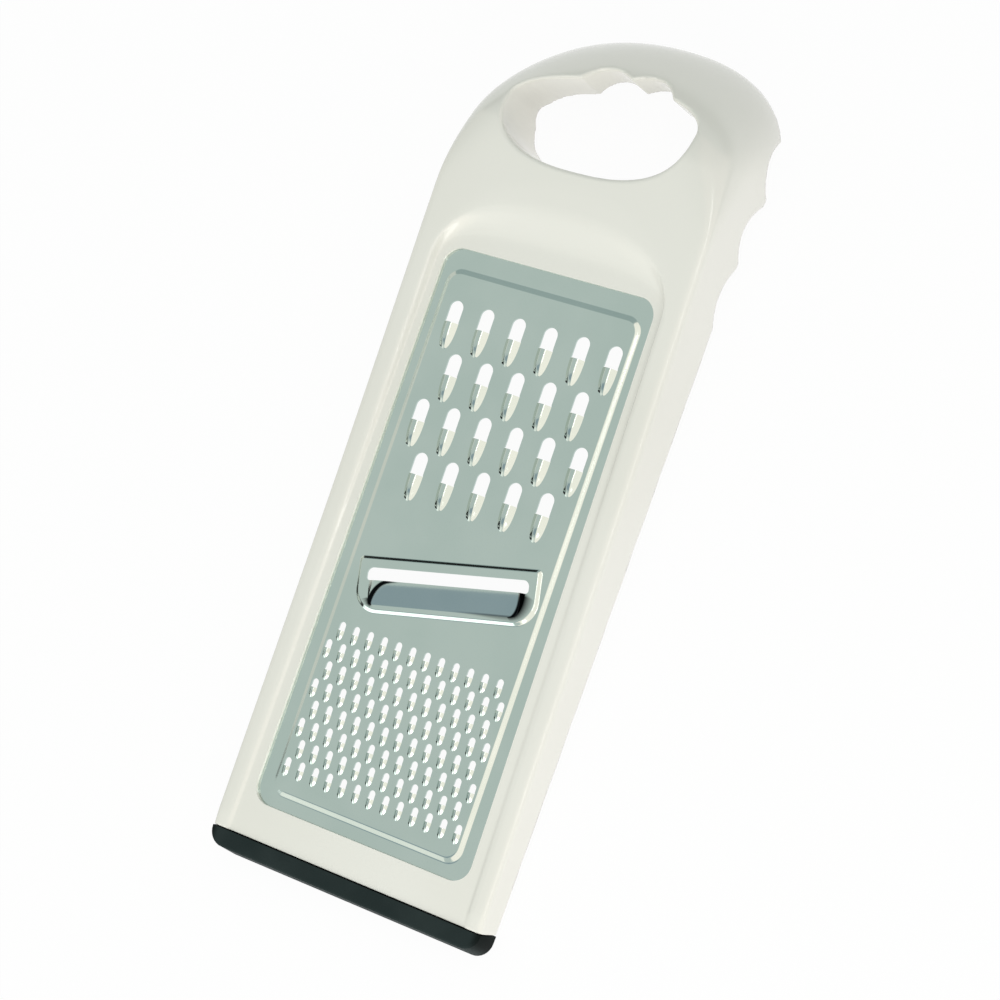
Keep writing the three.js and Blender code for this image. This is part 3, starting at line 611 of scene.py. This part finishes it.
def net_points(body, lines, field, cells):
    """One point in each cell that the surface passes through, pulled onto the surface."""
    low = np.stack([lines[axis][cells[:, axis]] for axis in range(3)], 1)
    size = np.stack([lines[axis][cells[:, axis] + 1] for axis in range(3)], 1) - low
    total = np.zeros(low.shape)
    count = np.zeros((len(low), 1))
    corners = [np.array((i, j, k)) for i in (0, 1) for j in (0, 1) for k in (0, 1)]
    for start in corners:
        for axis in range(3):
            if start[axis]:
                continue
            end = start.copy()
            end[axis] = 1
            first = field[tuple((cells + start).T)]
            second = field[tuple((cells + end).T)]
            meets = (first < 0) != (second < 0)
            share = np.where(meets, first / np.where(meets, first - second, 1.0), 0.0)
            place = start + share[:, None] * (end - start)
            total += np.where(meets[:, None], place, 0.0)
            count += meets[:, None]
    points = low + size * total / count
    for _ in range(NET_PULLS):
        values = body(*points.T)
        slope = slopes(body, points, values)
        pull = -values[:, None] * slope / np.maximum((slope ** 2).sum(1), LEAST_SQUARE)[:, None]
        reach = np.linalg.norm(pull, axis=1)[:, None]
        pull *= np.minimum(1.0, NET_REACH / np.maximum(reach, 1e-6))
        points = np.clip(points + pull, low - NET_SPARE * size, low + (1.0 + NET_SPARE) * size)
    return points


def net(body, lines):
    """Quads over the surface of a body that is given by its distance."""
    field = body(lines[0][:, None, None], lines[1][None, :, None], lines[2][None, None, :])
    within = field < 0
    counts = [len(line) for line in lines]
    parts = [slice(0, -1), slice(1, None)]
    total = sum(within[i, j, k].astype(np.int8) for i in parts for j in parts for k in parts)
    crossed = (total > 0) & (total < 8)
    cells = np.argwhere(crossed)
    number = np.full(crossed.shape, -1)
    number[crossed] = np.arange(len(cells))
    quads = []
    for axis in range(3):
        side, rise = (axis + 1) % 3, (axis + 2) % 3
        here = [slice(1, n - 1) for n in counts]
        here[axis] = slice(0, counts[axis] - 1)
        there = list(here)
        there[axis] = slice(1, counts[axis])
        start, end = within[tuple(here)], within[tuple(there)]
        found = np.argwhere(start != end)
        forward = start[tuple(found.T)]
        found[:, side] += 1
        found[:, rise] += 1
        ring = []
        for move_side, move_rise in ((-1, -1), (0, -1), (0, 0), (-1, 0)):
            cell = found.copy()
            cell[:, side] += move_side
            cell[:, rise] += move_rise
            ring.append(number[tuple(cell.T)])
        quad = np.stack(ring, 1)
        quads.append(np.where(forward[:, None], quad, quad[:, ::-1]))
    return net_points(body, lines, field, cells), np.concatenate(quads)


def make_object(name, points, faces, material):
    mesh = bpy.data.meshes.new(name)
    mesh.from_pydata([DECK @ Vector(point) for point in points], [], faces)
    mesh.materials.append(material)
    mesh.validate()
    mesh.shade_smooth()
    piece = bpy.data.objects.new(name, mesh)
    scene.collection.objects.link(piece)
    return piece


def round_rectangle(half, start, end, radius, half_end=None, radius_end=None, steps=10):
    """Points round a rectangle with round corners, anticlockwise. Its two ends can differ."""
    far = half if half_end is None else half_end
    round_end = radius if radius_end is None else radius_end
    corners = [
        (half - radius, start + radius, radius, -90),
        (far - round_end, end - round_end, round_end, 0),
        (-far + round_end, end - round_end, round_end, 90),
        (-half + radius, start + radius, radius, 180),
    ]
    points = []
    for x, y, turn, first in corners:
        for k in range(steps + 1):
            angle = math.radians(first + 90 * k / steps)
            points.append((x + turn * math.cos(angle), y + turn * math.sin(angle)))
    return points


def window_outline(reach):
    near = window_half(WINDOW_START) + reach
    far = window_half(WINDOW_END) + reach
    return round_rectangle(near, WINDOW_START - reach, WINDOW_END + reach, WINDOW_RADIUS + reach, far)


def cut_prism(piece, name, outline, bottom, top):
    """Cuts an upright prism out of a piece."""
    count = len(outline)
    points = [(x, y, bottom) for x, y in outline] + [(x, y, top) for x, y in outline]
    faces = [(i, (i + 1) % count, count + (i + 1) % count, count + i) for i in range(count)]
    faces += [tuple(reversed(range(count))), tuple(range(count, 2 * count))]
    cutter = make_object(name, points, faces, piece.data.materials[0])
    cut = piece.modifiers.new(name, "BOOLEAN")
    cut.operation = "DIFFERENCE"
    cut.solver = "MANIFOLD"
    cut.object = cutter
    return cutter


def apply_modifiers(piece, cutters=()):
    """Keeps what the modifiers make as the piece's own mesh."""
    solid = piece.evaluated_get(bpy.context.evaluated_depsgraph_get())
    old = piece.data
    piece.data = bpy.data.meshes.new_from_object(solid)
    piece.data.name = piece.name
    piece.modifiers.clear()
    bpy.data.meshes.remove(old)
    for cutter in cutters:
        mesh = cutter.data
        bpy.data.objects.remove(cutter)
        bpy.data.meshes.remove(mesh)


def make_frame():
    lines = [spaced(stops) for stops in (GRID_ACROSS, GRID_ALONG, GRID_UPWARD)]
    points, quads = net(frame_body, lines)
    piece = make_object("frame_moulding", points.tolist(), quads.tolist(), ivory_plastic())
    bottom, top = -DECK_DROP - CUT_PAST, FLOOR_HEIGHT + CUT_PAST
    cutters = [
        cut_prism(piece, "window_cut", window_outline(0.0), bottom, top),
        cut_prism(piece, "groove_cut", window_outline(GROOVE_DEPTH), -SHEET - FIT_GAP, GROOVE_TOP),
    ]
    apply_modifiers(piece, cutters)
    piece.data.shade_smooth()
    piece.data.set_sharp_from_angle(angle=MOULDING_SHARP)
    return piece


class Sheet:
    """Pressed sheet as one welded surface, with a share of the full thickness at each point."""

    def __init__(self):
        self.points = []
        self.skins = []
        self.shades = []
        self.faces = []
        self.numbers = {}

    def number(self, point, skin=1.0, shade=0.0):
        key = tuple(round(value, 3) for value in point)
        if key not in self.numbers:
            self.numbers[key] = len(self.points)
            self.points.append(point)
            self.skins.append(skin)
            self.shades.append(shade)
        return self.numbers[key]

    def face(self, numbers):
        ring = [n for i, n in enumerate(numbers) if n != numbers[i - 1]]
        if len(set(ring)) > 2:
            self.faces.append(ring)

    def strip(self, rows, closed=False, skin=1.0, shades=None):
        """Quads between rows of points."""
        shades = shades or [[0.0] * len(row) for row in rows]
        grid = [[self.number(p, skin, s) for p, s in zip(*pair)] for pair in zip(rows, shades)]
        count = len(grid[0])
        for near, far in zip(grid, grid[1:]):
            for k in range(count if closed else count - 1):
                n = (k + 1) % count
                self.face([near[k], near[n], far[n], far[k]])

    def web(self, outer, holes, height):
        """Flat sheet inside an outline and outside its holes."""
        places, rings = [], []
        for loop in [outer, *holes]:
            rings.append(list(range(len(places), len(places) + len(loop))))
            places.extend(Vector(point[:2]) for point in loop)
        points, _, faces, _, _, owners = delaunay_2d_cdt(places, [], rings, 1, 1e-5)
        for face, owner in zip(faces, owners):
            if owner == [0]:
                self.face([self.number((points[i].x, points[i].y, height)) for i in face])


def bend_share(share, bend=0.22):
    """Height share of a pressed step: two tight bends with a straight slope between them."""
    whole = 1.0 - bend
    if share < bend:
        return share * share / (2 * bend * whole)
    if share > whole:
        return 1.0 - (1.0 - share) ** 2 / (2 * bend * whole)
    return (share - bend / 2) / whole


def pressed_rows(half, start, end, radii, run, bottom, rise, steps=12):
    """Rings of a pressed step, from its foot to its top edge."""
    rows = []
    for k in range(steps + 1):
        share = k / steps
        inset = run * share
        height = bottom + rise * bend_share(share)
        near, far = (max(radius - inset / 2, LEAST_CORNER) for radius in radii)
        ring = round_rectangle(half - inset, start + inset, end - inset, near, radius_end=far)
        rows.append([(x, y, height) for x, y in ring])
    return rows


def flank_share(place):
    """Share of a hood's height lost at a place across it: flat back, bend and straight flank."""
    reach = max(0.0, place - HOOD_FLAT)
    fall = reach * reach / (2 * HOOD_BEND) if reach < HOOD_BEND else reach - HOOD_BEND / 2
    return fall / (1.0 - HOOD_FLAT - HOOD_BEND / 2)


def hood_rows(half, length, height, across, along):
    """Rows of a tooth's hood from its mouth to its tail, round the middle of its cutting edge."""
    rows = []
    for j in range(along + 1):
        turn = math.pi / 2 * j / along
        share = math.sin(turn) ** (2 / HOOD_POWER)
        wide = half * (0.0 if j == along else math.cos(turn) ** (2 / HOOD_POWER))
        tall = height * (1.0 - share ** HOOD_FALL) ** HOOD_TAIL
        row = []
        for k in range(across + 1):
            place = -math.cos(math.pi * k / across)
            rise = 1.0 - flank_share(abs(place))
            row.append((wide * place, -length * share, tall * rise))
        rows.append(row)
    return rows


def mouth_outline(half, hole_half, length, steps):
    """Edge of a tooth's hole from the right end of its mouth round to the left end."""
    flare = min(MOUTH_FLARE, half)
    points = [(half, 0.0), (hole_half, flare)]
    for k in range(steps + 1):
        angle = math.pi * k / steps
        points.append((hole_half * math.cos(angle), length - hole_half + hole_half * math.sin(angle)))
    return points + [(-hole_half, flare), (-half, 0.0)]


class Zone:
    """Staggered rows of one kind of tooth."""

    def __init__(self, pitch, row_pitch, rows, long_row, mouth_y, aside):
        self.pitch, self.row_pitch, self.rows = pitch, row_pitch, rows
        self.long_row, self.mouth_y, self.aside = long_row, mouth_y, aside

    def shape(self, width, hole_width, hole, hood, height, skin, across, along):
        self.width, self.skin = width, skin
        self.hood = hood_rows(width / 2, hood, height, across, along)
        self.mouth = mouth_outline(width / 2, hole_width / 2, hole, across)
        return self

    def places(self):
        usable = FIELD_HALF - FIELD_RUN - TEETH_MARGIN - self.width / 2
        columns = int(2 * usable / self.pitch) + 1
        for row in range(self.rows):
            count = columns if row % 2 == self.long_row else columns - 1
            for column in range(count):
                x = self.aside + (column - (count - 1) / 2) * self.pitch
                yield x, self.mouth_y - row * self.row_pitch

    def press(self, sheet):
        """Adds the hoods to the sheet and returns the outlines that the flat sheet leaves free."""
        outlines = []
        tail = [row[0] for row in self.hood] + [row[-1] for row in reversed(self.hood[:-1])]
        edge = self.mouth + [point[:2] for point in tail[1:-1]]
        for x, y in self.places():
            rows = [[(x + a, y + b, FIELD_RISE + c) for a, b, c in row] for row in self.hood]
            sheet.strip([row[::-1] for row in rows], skin=self.skin)
            outlines.append([(x + a, y + b) for a, b in edge])
        return outlines


def coarse_zone():
    first = FIELD_END - COARSE_FROM_FIELD
    zone = Zone(COARSE_PITCH, COARSE_ROW, COARSE_ROWS, COARSE_LONG_ROW, first, COARSE_ASIDE)
    hole = (COARSE_HOLE_WIDTH, COARSE_HOLE)
    return zone.shape(COARSE_WIDTH, *hole, COARSE_HOOD, COARSE_HEIGHT, COARSE_SKIN, *COARSE_STEPS)


def fine_zone():
    first = FIELD_START + FINE_FROM_FIELD + (FINE_ROWS - 1) * FINE_ROW
    zone = Zone(FINE_PITCH, FINE_ROW, FINE_ROWS, FINE_LONG_ROW, first, FINE_ASIDE)
    hole = (FINE_HOLE_WIDTH, FINE_HOLE)
    return zone.shape(FINE_WIDTH, *hole, FINE_HOOD, FINE_HEIGHT, FINE_SKIN, *FINE_STEPS)


def slicer_place(u, v):
    x = SLICER_ASIDE + u * math.cos(SLICER_ANGLE) - v * math.sin(SLICER_ANGLE)
    y = FIELD_START + SLICER_FROM_FIELD + u * math.sin(SLICER_ANGLE) + v * math.cos(SLICER_ANGLE)
    return x, y


def soft_least(first, second, bend):
    """The smaller of two heights, with a bend where they meet."""
    gap = max(bend - abs(first - second), 0.0)
    return min(first, second) - gap * gap / (4 * bend)


def lip_shade(from_left, from_right, share):
    """How dark the lip is painted, in bands that stand in for dark reflections: a bowed band at its sloped
    end, narrow ones at its steep end and tail.
    """
    along = min(max(from_left, 0.0) / BAND_LENGTH, 1.0)
    bow = 1.0 - (1.0 - along) ** BAND_BOW
    slope = BAND_BOW * (1.0 - along) ** (BAND_BOW - 1.0) * LIP_LENGTH / BAND_LENGTH
    off = abs(1.0 - share - bow) * LIP_LENGTH / math.hypot(1.0, slope)
    sloped = 1.0 - ease(off, blend(BAND_HALF_START, BAND_HALF_END, along), BAND_EDGE)
    sloped *= 1.0 - ease(from_left, BAND_FADE_FROM * BAND_LENGTH, BAND_FADE * BAND_LENGTH)
    steep = 1.0 - ease(from_right, STEEP_BAND, STEEP_BAND_EDGE)
    tail = TAIL_DARK * ease(share, TAIL_BAND_FROM, TAIL_BAND_EDGE)
    tail *= ease(from_left, TAIL_BAND_START, TAIL_BAND_RUN)
    return float(max(sloped, steep, tail))


def lip_rows(half, across=110, along=24):
    """Rows of the lip from its cutting edge to its tail, and how dark each point is painted to stand in for
    dark reflections.

    The lip is a low roof with a sloped end and a steep end.
    """
    rows, shades = [], []
    for j in range(along + 1):
        share = j / along
        turned = 1.0 - math.sqrt(max(0.0, 1.0 - share ** LIP_TURN))
        left, right = -half + LIP_HEEL * turned, half - LIP_STEEP_HEEL * turned
        roof = LIP_HEIGHT * (1.0 - share) ** LIP_FALL
        row, shade = [], []
        for k in range(across + 1):
            u = blend(left, right, (1.0 + math.sin(math.pi * (k / across - 0.5))) / 2)
            sloped = LIP_HEIGHT * (1.0 - max(0.0, 1.0 - (u - left) / LIP_SHOULDER) ** LIP_CURVE)
            steep = LIP_HEIGHT * (right - u) / LIP_STEEP
            tall = soft_least(soft_least(roof, sloped, LIP_BEND), steep, LIP_STEEP_BEND)
            ends = j == along or k in (0, across)
            row.append((u, -SLOT_WIDTH / 2 - LIP_LENGTH * share, 0.0 if ends else max(0.0, tall)))
            shade.append(lip_shade(u - left, right - u, share))
        rows.append(row)
        shades.append(shade)
    return rows, shades


def slot_edge(half, lip_half, steps=8):
    """Edge of the slot from the right end of the lip round to its left end."""
    side = SLOT_WIDTH / 2
    low = half - lip_half
    points = []
    for x, y, radius, first in ((half - low, -side + low, low, -90), (half - side, 0.0, side, 0)):
        for k in range(steps + 1):
            angle = math.radians(first + 90 * k / steps)
            points.append((x + radius * math.cos(angle), y + radius * math.sin(angle)))
    return points + [(-x, y) for x, y in reversed(points)]


def press_slicer(sheet):
    """Adds the pan and the lip to the sheet and returns the pan's outline."""
    pan_half = (FIELD_HALF - PAN_CLEAR - FIELD_RUN) / math.cos(SLICER_ANGLE)
    slot_half = pan_half - PAN_RUN - PAN_SIDE
    lip_half = slot_half - LIP_FROM_SLOT_END
    top = FIELD_RISE + PAN_RISE
    radii = (PAN_RADIUS, PAN_TOP_RADIUS)
    pan = pressed_rows(pan_half, -PAN_BEHIND, PAN_AHEAD, radii, PAN_RUN, FIELD_RISE, PAN_RISE)
    pan = [[(*slicer_place(u, v), z) for u, v, z in row] for row in pan]
    sheet.strip(pan, closed=True)
    lip, shades = lip_rows(lip_half)
    rows = [[(*slicer_place(u, v), top + z) for u, v, z in row[::-1]] for row in lip]
    sheet.strip(rows, shades=[row[::-1] for row in shades])
    left = [row[0] for row in lip]
    right = [row[-1] for row in lip]
    tail = left[1:] + lip[-1][1:-1] + right[:0:-1]
    edge = slot_edge(slot_half, lip_half) + [point[:2] for point in tail]
    sheet.web(pan[-1], [[slicer_place(u, v) for u, v in edge]], top)
    return pan[0]


def shade_webs_flat(piece):
    """Shades the flat parts of the sheet flat, so that the forms pressed out of it have crisp borders."""
    away = DECK.inverted()
    heights = [(away @ vertex.co).z for vertex in piece.data.vertices]
    for face in piece.data.polygons:
        levels = [heights[n] for n in face.vertices]
        face.use_smooth = max(levels) - min(levels) > LEVEL_STEP


def make_plate():
    sheet = Sheet()
    radii = (FIELD_RADIUS, FIELD_RADIUS)
    half, start, end = FIELD_HALF + FIELD_SPREAD, FIELD_START - FIELD_SPREAD, FIELD_END + FIELD_SPREAD
    field = pressed_rows(half, start, end, radii, FIELD_RUN + FIELD_SPREAD, 0.0, FIELD_RISE)
    sheet.strip(field, closed=True)
    sheet.web(window_outline(GROOVE_DEPTH - FIT_GAP), [field[0]], 0.0)
    outlines = coarse_zone().press(sheet) + fine_zone().press(sheet)
    outlines.append(press_slicer(sheet))
    sheet.web(field[-1], outlines, FIELD_RISE)
    piece = make_object("pressed_grating_plate", sheet.points, sheet.faces, bright_steel())
    # How dark each point is painted: the lip's bands that stand in for dark reflections.
    shades = piece.data.attributes.new("painted_dark_reflection", "FLOAT", "POINT")
    shades.data.foreach_set("value", sheet.shades)
    skins = piece.vertex_groups.new(name="skin")
    for number, skin in enumerate(sheet.skins):
        skins.add([number], skin, "REPLACE")
    thick = piece.modifiers.new("sheet", "SOLIDIFY")
    thick.thickness = SHEET * MILLIMETRE
    thick.offset = -1.0
    thick.vertex_group = "skin"
    apply_modifiers(piece)
    piece.data.set_sharp_from_angle(angle=EDGE_SHARP)
    shade_webs_flat(piece)
    return piece


def table_height(y):
    return -BACK_DEPTH - y * math.tan(DECK_TILT)


def foot_ring(front, inset, height_at, steps=8):
    """Points round the foot: flat against the frame, with round corners at the end of the grater."""
    half = BAR_HALF_WIDTH - inset
    seam = FOOT_LENGTH - FIT_GAP
    radius = FOOT_CORNER - inset
    points = [(half, seam), (-half, seam)]
    for x, first in ((-half + radius, 180), (half - radius, 270)):
        for k in range(steps + 1):
            angle = math.radians(first + 90 * k / steps)
            points.append((x + radius * math.cos(angle), front + inset + radius + radius * math.sin(angle)))
    return [(x, y, height_at(y)) for x, y in points]


def make_foot(steps=6):
    top = FLOOR_HEIGHT + FOOT_STAND
    rings = []
    for k in range(steps + 1):
        turn = math.pi / 2 * k / steps
        inset = FOOT_BASE_ROUND * (1 - math.sin(turn))
        lift = FOOT_BASE_ROUND * (1 - math.cos(turn))
        rings.append(foot_ring(-FOOT_TOE, inset, lambda y, lift=lift: table_height(y) + lift))
    for k in range(steps + 1):
        turn = math.pi / 2 * k / steps
        inset = FOOT_TOP_ROUND * (1 - math.cos(turn))
        height = top - FOOT_TOP_ROUND * (1 - math.sin(turn))
        rings.append(foot_ring(FOOT_LEAN - FOOT_TOE, inset, lambda y, height=height: height))
    count = len(rings[0])
    faces = []
    for ring in range(len(rings) - 1):
        for k in range(count):
            n = (k + 1) % count
            a, b = ring * count, (ring + 1) * count
            faces.append((a + k, a + n, b + n, b + k))
    faces += [tuple(reversed(range(count))), tuple(range(len(rings) * count - count, len(rings) * count))]
    piece = make_object("rubber_foot", [point for ring in rings for point in ring], faces, black_rubber())
    piece.data.set_sharp_from_angle(angle=EDGE_SHARP)
    return piece


# Stage: a white floor, soft panels and light and dark cards that the steel mirrors.
DOME_RADIUS = 2.2
FLOOR_HALF = 6.0
FLOOR_MATT = (0.92, 0.92, 0.92, 1)
FLOOR_GLOW = 0.75
FLOOR_WHITE = 0.19


def make_floor():
    material, wire = start_material("white_floor")
    rays = wire.make("ShaderNodeLightPath", output="Is Camera Ray")
    for kind in ("Is Glossy Ray", "Is Transmission Ray"):
        rays = wire.math("MAXIMUM", rays, wire.make("ShaderNodeLightPath", output=kind))
    matt = wire.make("ShaderNodeBsdfDiffuse", {}, {"Color": FLOOR_MATT})
    white = wire.make("ShaderNodeEmission", {}, {"Color": (1, 1, 1, 1), "Strength": 1.0})
    mixed = wire.make("ShaderNodeMixShader", {}, {0: FLOOR_GLOW + FLOOR_WHITE * rays, 1: matt, 2: white})
    wire.make("ShaderNodeOutputMaterial", {}, {"Surface": mixed})
    signs = ((-1, -1), (1, -1), (1, 1), (-1, 1))
    mesh = bpy.data.meshes.new("floor")
    mesh.from_pydata([(FLOOR_HALF * x, FLOOR_HALF * y, 0) for x, y in signs], [], [(0, 1, 2, 3)])
    mesh.materials.append(material)
    floor = bpy.data.objects.new("floor", mesh)
    scene.collection.objects.link(floor)


def face_origin(thing, towards, distance):
    thing.location = Vector(towards).normalized() * distance
    thing.rotation_euler = Vector(towards).to_track_quat("Z", "Y").to_euler()
    scene.collection.objects.link(thing)


def make_panel(name, towards, distance, width, height, radiance, colour):
    lamp = bpy.data.lights.new(name, "AREA")
    lamp.shape = "RECTANGLE"
    lamp.size, lamp.size_y = width, height
    lamp.energy = radiance * math.pi * width * height
    lamp.color = colour
    face_origin(bpy.data.objects.new(name, lamp), towards, distance)


def level_way(turn, lift):
    """Direction at a turn round the table and a lift above it, in degrees."""
    turn, lift = math.radians(turn), math.radians(lift)
    return Vector((math.cos(lift) * math.cos(turn), math.cos(lift) * math.sin(turn), math.sin(lift)))


def overhead_way(tilt, swing):
    """Direction tilted from straight up towards +X and swung towards +Y, in degrees."""
    tilt, swing = math.radians(tilt), math.radians(swing)
    return Vector((math.cos(swing) * math.sin(tilt), math.sin(swing), math.cos(swing) * math.cos(tilt)))


def make_card(name, way, first, second, shade, dims=False, steps=12):
    """A card on the studio's dome that mirror reflections see. One that dims also takes soft light away."""
    material, wire = start_material(name)
    glow = wire.make("ShaderNodeEmission", {}, {"Color": (*shade, 1), "Strength": 1.0})
    wire.make("ShaderNodeOutputMaterial", {}, {"Surface": glow})
    wide = steps + 1
    shares = [(i / steps, k / steps) for i in range(wide) for k in range(wide)]
    points = [DOME_RADIUS * way(blend(*first, a), blend(*second, b)) for a, b in shares]
    corners = [i * wide + k for i in range(steps) for k in range(steps)]
    mesh = bpy.data.meshes.new(name)
    mesh.from_pydata(points, [], [(n, n + 1, n + wide + 1, n + wide) for n in corners])
    mesh.materials.append(material)
    card = bpy.data.objects.new(name, mesh)
    scene.collection.objects.link(card)
    card.visible_camera = False
    card.visible_diffuse = dims
    card.visible_shadow = False


def make_world():
    world = bpy.data.worlds.new("studio")
    world.use_nodes = True
    wire = Wire(world.node_tree)
    world.node_tree.nodes.clear()
    sky = wire.make("ShaderNodeBackground", {}, {"Color": (0.72, 0.75, 0.72, 1), "Strength": 1.0})
    wire.make("ShaderNodeOutputWorld", {}, {"Surface": sky})
    scene.world = world


def make_stage():
    make_floor()
    make_world()
    make_panel("soft_lamp", (0.6, -0.75, 0.3), 0.9, 0.6, 0.6, 2.9, (1.0, 0.98, 0.95))
    make_panel("front_panel", (-0.45, -0.85, 0.26), 1.6, 1.2, 0.6, 1.4, (1.0, 1.0, 0.98))
    make_panel("ridge_lamp", (0.375, 0.1, 0.92), 1.9, 1.6, 0.17, 5.2, (1.0, 1.0, 0.98))
    make_card("cream_card", overhead_way, (-5, 70), (-60, 60), (1.5, 1.3, 1.18))
    make_card("right_card", overhead_way, (70, 90), (-45, 45), (0.2, 0.22, 0.21), dims=True)
    make_card("far_card", level_way, (60, 150), (6, 19), (0.015, 0.017, 0.017), dims=True)
    make_card("far_sky_card", level_way, (60, 150), (19, 60), (0.47, 0.53, 0.52), dims=True)
    make_card("left_card", level_way, (150, 190), (6, 34), (0.92, 0.86, 0.79))
    make_card("corner_card", level_way, (190, 226), (2, 16), (0.01, 0.01, 0.01))
    make_card("front_card", level_way, (228, 246), (26, 38), (1.2, 1.14, 1.06))
    make_card("lip_card", level_way, (218, 252), (44, 66), (0.39, 0.455, 0.5))


make_stage()
pieces = [(make_frame(), "frame"), (make_plate(), "grating_plate"), (make_foot(), "non_slip_foot")]
for piece, node in pieces:
    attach(piece, "root")
    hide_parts(node)

scene.view_settings.view_transform = "Standard"
